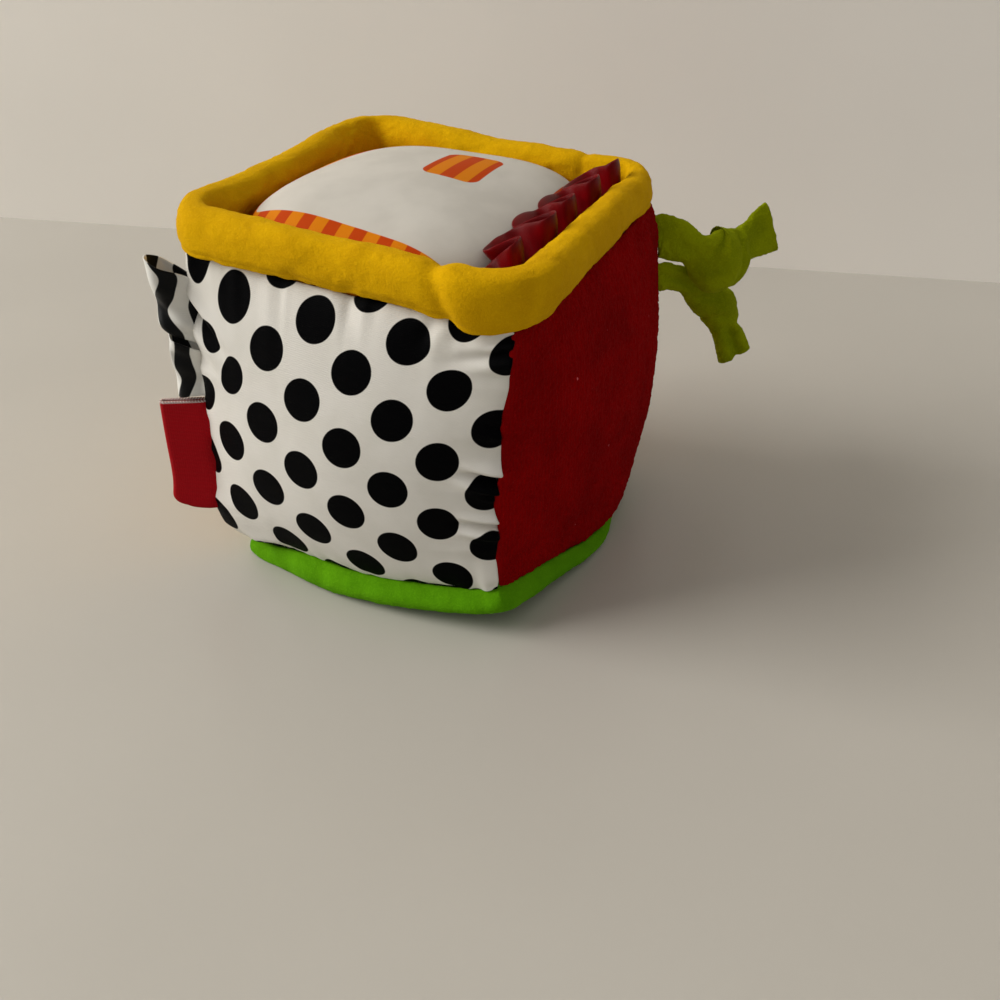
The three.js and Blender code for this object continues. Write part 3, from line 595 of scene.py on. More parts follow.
def rounded_square(graph, cloth, centre, half, radius, turn):
    """(distance outside a rounded rectangle turned by some degrees, distance across it from its middle)"""
    c, s = math.cos(math.radians(turn)), math.sin(math.radians(turn))
    moved = graph.vector("SUBTRACT", cloth, (*centre, 0.0))
    x = graph.vector("DOT_PRODUCT", moved, (c, s, 0.0))
    y = graph.vector("DOT_PRODUCT", moved, (-s, c, 0.0))
    over_x = graph.math("MAXIMUM", graph.math("SUBTRACT", graph.math("ABSOLUTE", x), half[0] - radius), 0.0)
    over_y = graph.math("MAXIMUM", graph.math("SUBTRACT", graph.math("ABSOLUTE", y), half[1] - radius), 0.0)
    return graph.math("SUBTRACT", graph.vector("LENGTH", graph.joined(over_x, over_y)), radius), x


# The white field's edges, each a place on it and its outward direction, and the striped patch on it
FIELD_EDGES = [
    ((-8.0, -31.0), (-0.1, -1.0)), ((30.8, 0.0), (1, 0.08)), ((0.0, 38.0), (0.1, 1)),
    ((-30.5, 12.5), (-0.9, 0.42)), ((-36.5, 0.0), (-1, 0.0)),
]
FIELD_ROUNDING = 10.0
PATCH_PLACE, PATCH_HALF, PATCH_RADIUS, PATCH_TURN = (5.6, 9.6), (7.8, 10.6), 3.4, 3.0


def pad_satin():
    graph = Graph("striped pad satin", 0.6, specular=0.06)
    cloth = graph.cloth()
    threads = add_weave(graph, cloth, SATIN_PITCH, 0.015)
    x, _, _ = graph.parts(cloth)
    field = None
    for place, way in FIELD_EDGES:
        size = math.hypot(*way)
        out = graph.vector("SUBTRACT", cloth, (*place, 0.0))
        edge = graph.vector("DOT_PRODUCT", out, (way[0] / size, way[1] / size, 0.0))
        field = edge if field is None else graph.math("SMOOTH_MAX", field, edge, FIELD_ROUNDING)
    spot, across = rounded_square(graph, cloth, PATCH_PLACE, PATCH_HALF, PATCH_RADIUS, PATCH_TURN)
    # The pad's white field is the sides' white satin darkened by painted shade
    white = satin_white(graph, cloth, threads, PAD_WHITE_PAINTED_SHADE, PAD_STAIN_PAINTED_SHADE)
    base = graph.mix(graph.step(field, PRINT_EDGE, -PRINT_EDGE), stripes(graph, x), white)
    graph.colour(graph.mix(graph.step(spot, PRINT_EDGE, -PRINT_EDGE), base, stripes(graph, across)))
    return graph.material


def striped_satin():
    graph = Graph("striped satin", 0.5, specular=0.15)
    cloth = graph.cloth()
    add_weave(graph, cloth, SATIN_PITCH, 0.05)
    x, _, _ = graph.parts(cloth)
    graph.colour(stripes(graph, x))
    return graph.material


def velour(name, deep, plain, pale, pile=0.5, patch_size=12.0, depth=0.4, sheen=0.25, ribs=None, lint=None):
    """Short pile cloth: patches where the nap leans another way, single tufts, and ribs and lint if any."""
    graph = Graph(name, 0.95, sheen=sheen, sheen_roughness=0.5, specular=0.05, tint=pale)
    place = graph.place()
    nap = graph.noise(place, patch_size, 3.0, 0.55, 0.4)
    tufts = graph.noise(place, pile, 3.0, 0.7)
    base = graph.mix(graph.step(nap, 0.3, 0.7), deep, plain)
    lit = graph.mix(graph.times(graph.step(tufts, 0.45, 0.8), 0.5), base, pale)
    colour = graph.mix(graph.times(graph.step(tufts, 0.5, 0.2), 0.4), lit, deep)
    if ribs:
        x, _, _ = graph.parts(graph.cloth())
        across = graph.math("MULTIPLY_ADD", graph.noise(place, 2.5, 1.0), 0.5, x)
        wave = graph.wave(across, ribs)
        colour = graph.mix(graph.times(graph.step(wave, 0.0, 1.0), 0.35), colour, deep)
        graph.bump(wave, 0.18, 0.6)
    if lint:
        specks = graph.step(graph.cells(place, 7.5), 0.055, 0.04)
        few = graph.step(graph.noise(place, 19.0, 1.0), 0.5, 0.56)
        colour = graph.mix(graph.times(graph.times(specks, few), 0.7), colour, lint)
    graph.colour(colour)
    graph.bump(graph.cells(place, pile * 2.2), -depth * 0.4, 0.4)
    graph.bump(tufts, depth, 0.6)
    return graph.material


ZEBRA_WIDTH, ZEBRA_BEND, ZEBRA_CHANGE = 2.4, 4.4, 1.2


def ribbon_satin():
    """White ribbon with black bands that bend and change their width."""
    graph = Graph("zebra ribbon", 0.42, specular=0.14)
    cloth = graph.cloth()
    add_weave(graph, cloth, 0.4, 0.04)
    x, y, _ = graph.parts(cloth)
    slow = graph.noise(graph.joined(0.0, y, 0.0), 9.0, 0.0)
    bend = graph.math("MULTIPLY_ADD", slow, ZEBRA_BEND, -ZEBRA_BEND / 2)
    phase = graph.math("PINGPONG", graph.math("ADD", x, bend), ZEBRA_WIDTH)
    change = graph.math("MULTIPLY_ADD", graph.noise(cloth, 7.0, 0.0), ZEBRA_CHANGE, -ZEBRA_CHANGE / 2)
    band = graph.math("ADD", phase, change)
    graph.colour(graph.mix(graph.step(band, 1.15, 1.3), rgb(222, 220, 212), BLACK_PRINT))
    return graph.material


# The label's ribs, and the hatched hem along its top
LABEL_RIBS, LABEL_CROSS, HEM, HEM_EDGE, HEM_SLANT = 0.42, 0.6, 0.5, 0.08, 0.8


def label_tape(top):
    """Red tape woven in fine ribs, with a pale hatched hem."""
    graph = Graph("woven label", 0.7, specular=0.1)
    cloth = graph.cloth()
    x, y, _ = graph.parts(cloth)
    ribs, cross = graph.wave(y, LABEL_RIBS), graph.wave(x, LABEL_CROSS)
    red = graph.mix(graph.step(ribs, -1.0, 1.0), rgb(148, 1, 12), rgb(174, 3, 17))
    red = graph.mix(graph.times(graph.step(cross, 0.4, 1.0), 0.3), red, rgb(184, 16, 30))
    slant = graph.wave(graph.math("ADD", x, y), HEM_SLANT)
    hatch = graph.mix(graph.step(slant, -0.3, 0.3), rgb(110, 12, 24), rgb(232, 222, 214))
    graph.colour(graph.mix(graph.step(y, top - HEM, top - HEM + HEM_EDGE), red, hatch))
    graph.bump(graph.math("ADD", ribs, graph.times(cross, 0.5)), 0.06, 0.7)
    return graph.material


def ruffle_satin():
    graph = Graph("red satin", 0.34, specular=0.1)
    cloth = graph.cloth()
    add_weave(graph, cloth, 0.36, 0.035)
    shade = graph.noise(cloth, 6.0, 2.0)
    graph.colour(graph.mix(graph.step(shade, 0.3, 0.7), rgb(86, 0, 3), rgb(112, 0, 5)))
    return graph.material


def fibre_wad():
    graph = Graph("polyester fibre", 0.9, sheen=0.4)
    place = graph.place()
    strands = graph.noise(place, 1.2, 4.0, 0.7, 1.5)
    graph.colour(graph.mix(graph.step(strands, 0.35, 0.65), rgb(214, 213, 208), rgb(246, 246, 243)))
    graph.bump(strands, 0.8, 0.8)
    return graph.material


def moulded(name, light, dark, roughness):
    graph = Graph(name, roughness)
    place = graph.place()
    graph.colour(graph.mix(graph.step(graph.noise(place, 5.0, 2.0), 0.3, 0.7), light, dark))
    graph.bump(graph.noise(place, 0.5, 2.0), 0.02, 0.3)
    return graph.material


LABEL_TOP = 50.8
DOTTED_SATIN = dotted_satin()
PAD_SATIN = pad_satin()
STRIPED_SATIN = striped_satin()
RED_TERRY = velour(
    "red terry", rgb(124, 0, 1), rgb(148, 1, 2), rgb(166, 3, 5),
    pile=0.6, patch_size=16.0, depth=0.5, sheen=0.08, ribs=1.15, lint=rgb(236, 120, 128),
)
YELLOW_VELOUR = velour("yellow velour", rgb(200, 150, 2), rgb(214, 164, 3), rgb(226, 180, 14))
GREEN_VELOUR = velour("lime velour", rgb(78, 138, 5), rgb(90, 152, 9), rgb(108, 170, 20))
TAIL_VELOUR = velour("olive lime velour", rgb(120, 130, 2), rgb(142, 152, 4), rgb(168, 180, 16))
RIBBON_SATIN = ribbon_satin()
LABEL_TAPE = label_tape(LABEL_TOP)
RUFFLE_SATIN = ruffle_satin()
FIBRE_WAD = fibre_wad()
SHELL_PLASTIC = moulded("capsule plastic", rgb(222, 226, 228), rgb(206, 211, 214), 0.3)
BEAD_PLASTIC = moulded("bead plastic", rgb(58, 112, 186), rgb(50, 100, 172), 0.35)


# The six sewn panels

ROLL_ANGLES = [25, 50, 75, 100, 120, 135]
ALLOWANCE, ROLL_INSET, TOP_INSET = 1.6, 1.0, 1.2
# The left panel lies flush beside the seam that it shares with the front
FLUSH_DEPTH, FLUSH_REACH = 1.3, 5.0
CORNER_SUNK, CORNER_SHARE, CORNER_FADE = 1.2, 0.15, 3.0
# (depth, reach) of the dent that draws each panel's corners in
CORNER_DENTS = {"sides": (0.9, 2.6), "top": (0.0, 1.0), "bottom": (1.5, 3.6)}
# Slow unevenness of each panel, and where it fades beside the floor and the near seam
LUMP, LUMP_CELL, LUMP_FADE = 0.45, 17.0, 0.5
FLOOR_FADE, NEAR_FADE = 3.0, 5.0
PANEL_PRESSURE, FLOOR_TOUCH = 4.0, 0.2
# Each panel's cells, seam roll, gathers along its seams (height, pitch, reach), and for the simulation the
# cloth that it has to spare and the cap of its moves
PANELS = {
    "front": dict(cells=104, roll=0.4, gather=(0.42, 3.6, 6.5), growth=0.012, cap=1.1, material=DOTTED_SATIN,
                  slot="dotted_satin"),
    "right": dict(cells=60, roll=0.7, gather=(0.3, 6.0, 9.0), growth=0.004, cap=0.8, material=RED_TERRY,
                  slot="red_terry", nap=(0.3, 0.9), levels=2),
    "back": dict(cells=60, roll=0.45, gather=(0.42, 4.2, 7.0), growth=0.012, cap=1.1, material=STRIPED_SATIN,
                 slot="striped_satin"),
    "left": dict(cells=60, roll=0.45, gather=(0.3, 6.0, 9.0), growth=0.004, cap=0.8, material=YELLOW_VELOUR,
                 slot="yellow_velour", nap=(0.12, 1.4)),
    "top": dict(cells=72, roll=0.5, gather=(0.25, 4.0, 5.0), growth=0.01, cap=1.0, material=PAD_SATIN,
                slot="white_satin"),
    "bottom": dict(cells=60, roll=0.8, gather=(0.3, 5.0, 6.0), growth=0.004, cap=0.7, material=GREEN_VELOUR,
                   slot="green_velour", nap=(0.14, 1.2)),
}
# Sharp puckers at single places: panel, seam end and inner end as (u, v), depth, width and hidden cloth
FOLDS = {
    "front": [
        ((-1.0, 0.66), (-0.62, 0.36), 2.4, 1.9, 1.5),
        ((-0.74, -0.99), (-0.36, -0.99), 1.4, 1.6, 2.6),
        ((1.0, -0.1), (0.76, 0.0), 3.6, 1.4, 1.6),
        ((1.0, -0.2), (0.86, -0.13), 1.6, 0.8, 0.6),
        ((1.0, -0.47), (0.72, -0.4), 3.2, 1.3, 1.2),
        ((1.0, 0.84), (0.6, 0.72), 1.3, 1.5, 1.0),
        ((1.0, 0.95), (0.82, 0.86), 1.2, 1.0, 0.5),
        ((0.1, 1.0), (0.16, 0.7), 0.8, 2.2, 0.6),
        ((0.6, 1.0), (0.5, 0.74), 0.8, 1.8, 0.6),
        ((1.0, 0.3), (0.86, 0.36), 0.8, 1.2, 0.6),
    ],
}
# How the front's print lies on its cloth: its start, its slant and its bend over a length of cloth
PRINT_START = np.array([7.16, -13.78])
PRINT_SLANT = np.array([[1.0, -0.026], [0.068, 0.995]])
PRINT_BEND, PRINT_BEND_LENGTH = np.array([[0.008, -0.026, -0.094], [-0.017, 0.042, -0.064]]), 50.0
# Where the sewing has dragged it: place, shift and reach on the cloth
DRAGS = [
    ((-42.0, 19.0), (7.6, -2.4), 10.0),
    ((-44.0, 36.0), (-1.0, -6.5), 9.0),
    ((-33.0, 30.0), (0.5, -1.6), 10.0),
    ((46.0, -28.0), (0.0, 2.6), 12.0),
    ((32.0, 35.0), (0.6, -3.2), 7.0),
]
HALVES = {
    "front": (TOP_WIDTH / 2, SIDE_HALF), "back": (TOP_WIDTH / 2, SIDE_HALF),
    "right": (TOP_DEPTH / 2, SIDE_HALF), "left": (TOP_DEPTH / 2, SIDE_HALF),
    "top": (TOP_WIDTH / 2, TOP_DEPTH / 2), "bottom": (BOTTOM_WIDTH / 2, BOTTOM_DEPTH / 2),
}


def surface_normals(points):
    across = np.gradient(points, axis=1)
    along = np.gradient(points, axis=0)
    return unit(np.cross(across, along))


def flat_lengths(points):
    """Cloth coordinates: the way along each grid line from the panel's middle lines."""
    rows, columns = points.shape[:2]
    u = np.zeros((rows, columns))
    v = np.zeros((rows, columns))
    u[:, 1:] = np.cumsum(np.linalg.norm(np.diff(points, axis=1), axis=2), axis=1)
    v[1:, :] = np.cumsum(np.linalg.norm(np.diff(points, axis=0), axis=2), axis=0)
    return np.stack([u - u[:, [columns // 2]], v - v[[rows // 2], :]], axis=-1)


# Beside its gathers' ridges the cloth has finer ones, and each ridge has its own length
FINE_SHARE, FINE_PITCH, LENGTH_CHANGE, LENGTH_PITCH = 0.5, 1 / 2.3, 0.7, 2.5
# A fold's shoulders, as shares of its width and depth, and how far it pulls the print
SHOULDER_PLACE, SHOULDER_WIDTH, SHOULDER_HEIGHT, PULL_REACH = 1.8, 1.2, 0.6, 6.0


def gathers(u, v, half_u, half_v, size, seed):
    """Small ridges that run square off each seam and die out inwards."""
    height, pitch, reach = size
    total = np.zeros(u.shape)
    for number, (gap, along) in enumerate((
        ((1 - u) * half_u, v * half_v), ((1 + u) * half_u, v * half_v),
        ((1 - v) * half_v, u * half_u), ((1 + v) * half_v, u * half_u),
    )):
        ridge = noise(along[..., None], pitch, seed + number)
        fine = lumps(along[..., None], FINE_SHARE, pitch * FINE_PITCH, seed + number + 20)
        change = lumps(along[..., None], LENGTH_CHANGE, pitch * LENGTH_PITCH, seed + number + 40)
        total += height * (ridge + fine) * np.exp(-np.maximum(gap, 0) / (reach * (1 + change)))
    return total


def folded(u, v, half_u, half_v, folds):
    """(how deep the folds cut, how far they pull the cloth coordinates together) at each point."""
    depth = np.zeros(u.shape)
    pull = np.zeros(u.shape + (2,))
    place = np.stack([u * half_u, v * half_v], axis=-1)
    for start, end, deep, width, hidden in folds:
        a = np.array([start[0] * half_u, start[1] * half_v])
        b = np.array([end[0] * half_u, end[1] * half_v])
        way = (b - a) / np.linalg.norm(b - a)
        side = np.array([-way[1], way[0]])
        share = ((place - a) @ way) / np.linalg.norm(b - a)
        gap = (place - a) @ side
        fade = smooth(1 - share) * smooth(share * 3 + 1)
        shoulders = SHOULDER_HEIGHT * bell(np.abs(gap), SHOULDER_PLACE * width, SHOULDER_WIDTH * width)
        depth += deep * fade * (bell(gap, 0, width) - shoulders)
        near = bell(gap, 0, PULL_REACH * width)
        pull += (hidden / 2 * fade * near * np.tanh(gap / width))[..., None] * side
    return depth, pull


def roll_rows(roll):
    """(how far past the edge, how deep) each row lies that rolls the cloth over into its seam"""
    turn = np.radians(ROLL_ANGLES)
    out, deep = roll * np.sin(turn), roll * (1 - np.cos(turn))
    slant = ALLOWANCE / math.sqrt(2)
    return np.append(out, out[-1] - slant), np.append(deep, deep[-1] + slant)


def extended(points, normals, roll, axis, border):
    """The grid with rolled rows added at both ends of one axis; border cells beside it follow along."""
    grid = np.moveaxis(points, axis, 0)
    facing = np.moveaxis(normals, axis, 0)
    main = slice(border, grid.shape[1] - border)
    out, deep = roll_rows(roll)
    sunk, past = np.zeros(grid.shape[1]), np.full(grid.shape[1], -np.inf)
    if border:
        sunk[:border], sunk[-border:] = deep[::-1], deep
        past[:border], past[-border:] = np.maximum(0, out[::-1]), np.maximum(0, out)
    lines = []
    for end, inner, normal in ((grid[0], grid[1], facing[0]), (grid[-1], grid[-2], facing[-1])):
        into = unit(inner[main] - end[main])
        down = -unit(normal - into * (normal * into).sum(axis=-1, keepdims=True))
        into, down = (np.pad(way, ((border, border), (0, 0)), mode="edge") for way in (into, down))
        run = np.concatenate([[0], np.cumsum(np.linalg.norm(np.diff(end[main], axis=0), axis=1))])
        ease = np.pad(smooth(np.minimum(run, run[-1] - run) / CORNER_FADE), border, mode="edge")
        lines.append([])
        for o, d in zip(out, deep):
            further = np.where(np.isinf(past), o, np.maximum(0, o - past))
            lower = down * np.maximum(0, d - sunk)[:, None]
            lines[-1].append(end - into * (further * ease)[:, None] + lower)
    before = np.stack(lines[0][::-1])
    after = np.stack(lines[1])
    return np.moveaxis(np.concatenate([before, grid, after]), 0, axis)


def even_lines(name, axis, cells, inset):
    """Grid lines at even steps of cloth along the panel's middle, kept an inset away from both seams."""
    s = np.linspace(-1, 1, 4001)
    t = np.sign(s) * (1 - (1 - np.abs(s)) ** 5)
    middle = face_point(name, *((t, 0 * t) if axis == 0 else (0 * t, t)))
    run = np.concatenate([[0], np.cumsum(np.linalg.norm(np.diff(middle, axis=0), axis=1))])
    return np.interp(np.linspace(inset, run[-1] - inset, cells + 1), run, t)


def print_coordinates(cloth):
    """Where the front's print lies on its cloth: a half-drop of dots, pulled a little askew by the sewing."""
    for place, shift, reach in DRAGS:
        near = bell(np.linalg.norm(cloth - np.array(place), axis=-1), 0, reach)
        cloth = cloth - near[..., None] * np.array(shift)
    u, v = cloth[..., 0], cloth[..., 1]
    # The middle of the grid lies higher at the left, where the top seam rises
    v = v + RISE / 2 * (0.5 - u / TOP_WIDTH)
    bend = np.stack([u * u, u * v, v * v], axis=-1) / PRINT_BEND_LENGTH
    return PRINT_START + np.stack([u, v], axis=-1) @ PRINT_SLANT.T + bend @ PRINT_BEND.T


def swelling(name, u, v, points, seed):
    """(how far the panel's cloth stands out, how far its folds pull the print together) at each point."""
    half_u, half_v = HALVES[name]
    depth, pull = folded(u, v, half_u, half_v, FOLDS.get(name, []))
    swell = gathers(u, v, half_u, half_v, PANELS[name]["gather"], seed) - depth
    swell += LUMP * noise(points, LUMP_CELL, seed) * pillow(u, v, LUMP_FADE)
    if name == "bottom":
        swell *= ramp(points[..., 2], 0, FLOOR_FADE)
    elif name == "right":
        swell *= ramp(near_seam_gap(points), 0, NEAR_FADE)
    elif name == "left":
        swell -= FLUSH_DEPTH * bell((1 - u) * half_u, 0, FLUSH_REACH)
    return swell, pull


def dented(points, deep, reach):
    """The panel with its four corners drawn in."""
    for row in (0, -1):
        for column in (0, -1):
            near = bell(np.linalg.norm(points - points[row, column], axis=-1), 0, reach)
            points = points + unit(CENTRE - points) * (deep * near)[..., None]
    return points


def sink_corners(full, border):
    """Ends the corners' rolled rows inside, where they can't show."""
    ends = ((slice(None, border), border), (slice(-border, None), -border - 1))
    for rows_at, row in ends:
        for columns_at, column in ends:
            tip = full[row, column].copy()
            sunk = tip + unit(CENTRE - tip) * CORNER_SUNK
            full[rows_at, columns_at] = sunk + CORNER_SHARE * (full[rows_at, columns_at] - tip)


def build_panel(name, seed):
    spec = PANELS[name]
    roll = spec["roll"]
    inset = roll * ROLL_INSET + (TOP_INSET if name == "top" else 0.0)
    u, v = np.meshgrid(*(even_lines(name, axis, spec["cells"], inset) for axis in (0, 1)))
    points = face_point(name, u, v)
    cloth = flat_lengths(points)
    swell, pull = swelling(name, u, v, points, seed)
    points = points + surface_normals(points) * swell[..., None]
    points = dented(points, *CORNER_DENTS.get(name, CORNER_DENTS["sides"]))
    if name == "bottom":
        points[..., 2] = np.maximum(points[..., 2], 0)
    border = len(ROLL_ANGLES) + 1
    facing = surface_normals(points)
    full = extended(extended(points, facing, roll, 1, 0), facing, roll, 0, border)
    sink_corners(full, border)
    if name == "front":
        cloth = print_coordinates(cloth + pull)
    elif name == "top":
        cloth = points[..., :2]
    cloth = np.pad(cloth, ((border, border), (border, border), (0, 0)), mode="edge")
    rows, columns = full.shape[:2]
    mesh = new_mesh(name + "_cloth", full, grid_faces(rows, columns), cloth)
    piece = new_piece("sewn_" + name, mesh, spec["material"])
    held = np.zeros((rows, columns), bool)
    held[: border + 1] = held[-border - 1 :] = True
    held[:, : border + 1] = held[:, -border - 1 :] = True
    if name == "bottom":
        held |= full[..., 2] < FLOOR_TOUCH
    waiting.append((piece, np.flatnonzero(held.ravel()), PANEL_PRESSURE, spec["growth"], spec["cap"]))
    return piece


panel_pieces = {name: build_panel(name, 100 * number) for number, name in enumerate(PANELS)}


# The collar

COLLAR_STEP, COLLAR_TURNS, COLLAR_SLIT = 1.5, 60, 0.5
# The outer cloth hangs a little below the seam that holds it, and more so at the near corner
COLLAR_LIP, COLLAR_DROOP, DROOP_SHARES = 7.0, 0.9, (0.25, 0.875)
NEAR_CORNER, NEAR_REACH, NEAR_FULLNESS = 313.0, 11.0, 2.8
# (size, cell, seed) of the collar's unevenness: of its width, of its height, and of its cloth
WIDTH_WANDER, HEIGHT_WANDER, COLLAR_PRESSED = (0.35, 22.0, 3), (0.5, 16.0, 4), 0.2
CLOTH_LUMPS = [(0.3, 7.0, 5), (0.16, 3.0, 6)]
COLLAR_PRESSURE, COLLAR_GROWTH, COLLAR_CAP = 3.0, 0.01, 0.8
# The line of stitches near the collar's foot
STITCH_HEIGHT, STITCH_DEPTH, STITCH_WIDTH = 2.6, 0.45, 0.5
# Creases where the band folds at its inner corners, as degrees round the top, depth and width
COLLAR_CREASES = [(45, 1.2, 3.0), (135, 2.2, 3.6), (148, 1.4, 3.0), (225, 1.3, 3.2), (318, 1.0, 3.2)]
CREASE_RADIUS = 4 * COLLAR_RADIUS
# The join across the band, and the slanted crease beside the near corner with a lip on one side
COLLAR_JOIN, JOIN_DEPTH, JOIN_WIDTH = 60.0, 0.8, 0.9
CORNER_CREASE, CREASE_DEPTH, CREASE_WIDTH, CREASE_SLANT, CREASE_HEIGHT = 304.0, 1.1, 1.3, 0.22, 6.0
LIP_SHARE, LIP_PLACE, LIP_WIDTH = 0.5, 3.2, 2.2
PADDING_INSET, PADDING_SIDES, PADDING_LUMP = 3.0, 20, (0.25, 4.0, 8)


def collar_path():
    """(points, outward directions) along the collar, counterclockwise from the middle of the red side."""
    half_x = TOP_WIDTH / 2 + COLLAR_OUTSET - COLLAR_RADIUS
    half_y = TOP_DEPTH / 2 + COLLAR_OUTSET - COLLAR_RADIUS
    points, outs = [], []
    for side in range(4):
        half, far = (half_x, half_y) if side % 2 else (half_y, half_x)
        turn = Matrix.Rotation(side * math.pi / 2, 3, "Z")
        steps = round(2 * half / COLLAR_STEP)
        for i in range(steps):
            points.append(turn @ Vector((far + COLLAR_RADIUS, half * (2 * i / steps - 1), 0)))
            outs.append(turn @ Vector((1, 0, 0)))
        steps = round(COLLAR_RADIUS * math.pi / 2 / COLLAR_STEP)
        for i in range(steps):
            angle = i / steps * math.pi / 2
            out = Vector((math.cos(angle), math.sin(angle), 0))
            points.append(turn @ (Vector((far, half, 0)) + out * COLLAR_RADIUS))
            outs.append(turn @ out)
    return np.array(points), np.array(outs)


def around(shares, angle):
    """Shares given at even steps round the top, with smooth changes between them."""
    place = (angle / (2 * math.pi)) % 1 * len(shares)
    first = np.floor(place).astype(int)
    here, there = (np.array(shares)[(first + step) % len(shares)] for step in (0, 1))
    part = smooth(place - first)
    return here * (1 - part) + there * part


def angle_from(angle, degrees):
    """The way round the top from a direction in degrees, from -pi to pi."""
    return (angle - math.radians(degrees) + math.pi) % (2 * math.pi) - math.pi


def collar_dents(angle, across, up):
    """How deep the collar's creases, join and stitches lie."""
    dent = np.zeros(across.shape)
    for where, deep, width in COLLAR_CREASES:
        near = bell(angle_from(angle, where) * CREASE_RADIUS, 0, width)
        dent += deep * near[:, None] * smooth(across / COLLAR_HALF)
    dent += JOIN_DEPTH * bell(angle_from(angle, COLLAR_JOIN) * TOP_DEPTH / 2, 0, JOIN_WIDTH)[:, None]
    slanted = angle_from(angle, CORNER_CREASE)[:, None] * TOP_WIDTH / 2 + CREASE_SLANT * (up - CREASE_HEIGHT)
    lip = LIP_SHARE * bell(slanted, LIP_PLACE, LIP_WIDTH)
    dent += CREASE_DEPTH * (bell(slanted, 0, CREASE_WIDTH) - lip)
    outer = smooth(-across / COLLAR_HALF * 2)
    return dent + STITCH_DEPTH * outer * bell(up, STITCH_HEIGHT, STITCH_WIDTH)


def collar_surface(inset, turns, bumpy):
    """(points, cloth coordinates) of the collar's cloth, or of a plainer skin inset inside it."""
    path, out = collar_path()
    angle = np.arctan2(path[:, 1], path[:, 0])
    step = np.linalg.norm(np.roll(path, -1, axis=0) - path, axis=1)
    length = np.concatenate([[0], np.cumsum(step)[:-1]])
    height = COLLAR_HEIGHT * around(COLLAR_HEIGHT_SHARES, angle)
    lean = COLLAR_LEAN * around(COLLAR_LEAN_SHARES, angle)
    half = COLLAR_HALF * around(COLLAR_THICKNESS_SHARES, angle)
    inner_face = COLLAR_HALF - half
    if bumpy:
        half = half + lumps(path, *WIDTH_WANDER) - COLLAR_PRESSED
        height = height + lumps(path, *HEIGHT_WANDER)
    c, s = np.cos(2 * math.pi * turns), np.sin(2 * math.pi * turns)
    power = 2 / COLLAR_SQUARENESS
    across = np.sign(s) * np.abs(s) ** power * (half[:, None] - inset)
    up = height[:, None] / 2 - np.sign(c) * np.abs(c) ** power * (height[:, None] / 2 - inset)
    shift = -across - inner_face[:, None] - lean[:, None] * up / height[:, None]
    points = path[:, None] + out[:, None] * shift[..., None]
    points[..., 2] = border_height(points[..., 0], points[..., 1]) + SEWN_GAP + up
    cloth = np.stack(np.broadcast_arrays(length[:, None], turns[None] * 2 * height.mean()), axis=-1)
    if bumpy:
        droop = COLLAR_DROOP * ramp(-across / COLLAR_HALF, *DROOP_SHARES) * ramp(up, COLLAR_LIP, 0)
        fuller = 1 + NEAR_FULLNESS * bell(angle_from(angle, NEAR_CORNER), 0, math.radians(NEAR_REACH))
        points[..., 2] -= droop * fuller[:, None]
        normals = surface_normals(points)
        rise = sum(lumps(points, *lump) for lump in CLOTH_LUMPS) - collar_dents(angle, across, up)
        points = points + normals * rise[..., None]
    return points, cloth


def build_collar():
    slit = COLLAR_SLIT / 2 / (math.pi * COLLAR_HALF)
    turns = slit + (1 - 2 * slit) * np.linspace(0, 1, COLLAR_TURNS)
    points, cloth = collar_surface(0.0, turns, True)
    rows, columns = points.shape[:2]
    mesh = new_mesh("collar", points, grid_faces(rows, columns, wrap_rows=True), cloth)
    piece = new_piece("velour_collar", mesh, YELLOW_VELOUR)
    held = np.zeros((rows, columns), bool)
    held[:, :3] = held[:, -3:] = True
    waiting.append((piece, np.flatnonzero(held.ravel()), COLLAR_PRESSURE, COLLAR_GROWTH, COLLAR_CAP))
    return piece


def build_padding():
    turns = np.arange(PADDING_SIDES) / PADDING_SIDES
    points, _ = collar_surface(PADDING_INSET, turns, False)
    outward = unit(points - points.mean(axis=1, keepdims=True))
    points += outward * lumps(points, *PADDING_LUMP)[..., None]
    rows, columns = points.shape[:2]
    mesh = new_mesh("padding", points, grid_faces(rows, columns, True, True), points[..., :2])
    return new_piece("collar_fibre", mesh, FIBRE_WAD)


collar_piece = build_collar()
padding_piece = build_padding()


# The gathered ruffle

RUFFLE_LENGTH, RUFFLE_RISE, RUFFLE_LEAN, RUFFLE_OFFSET = 74.0, 11.8, 5.6, 0.9
RUFFLE_STEPS, RUFFLE_ROWS = 260, 12
# Its folds: how many, where the first lies, how deep they are and how they open upwards
RUFFLE_FOLDS, FIRST_FOLD, RUFFLE_DEPTH, FOLD_POWER, FOOT_PLEAT = 5, 1.4, 6.4, 0.7, 0.25
# Wide round heads on the pad's side, narrow folds on the collar's, and between its heads the ribbon bows
# backwards, so that each loop is open towards the near corner
RUFFLE_HEAD, RUFFLE_LOOP, RUFFLE_BOW, HEAD_HANG = 2.4, 3.0, 1.5, 0.5
# (size, cell, seed) of the unevenness of the folds' places and of their depths
FOLD_PLACES, FOLD_DEPTHS = (0.04, 0.31, 31), (0.22, 0.4, 33)
# How much lower it stands at its two ends, and from which share of its half length on
FRONT_DROP, BACK_DROP, DROP_START = 0.3, 0.12, 0.8
RUFFLE_THICKNESS, RUFFLE_EDGE, EDGE_SHARES, PAD_GAP = 0.18, 0.3, (0.25, 0.85), 0.9


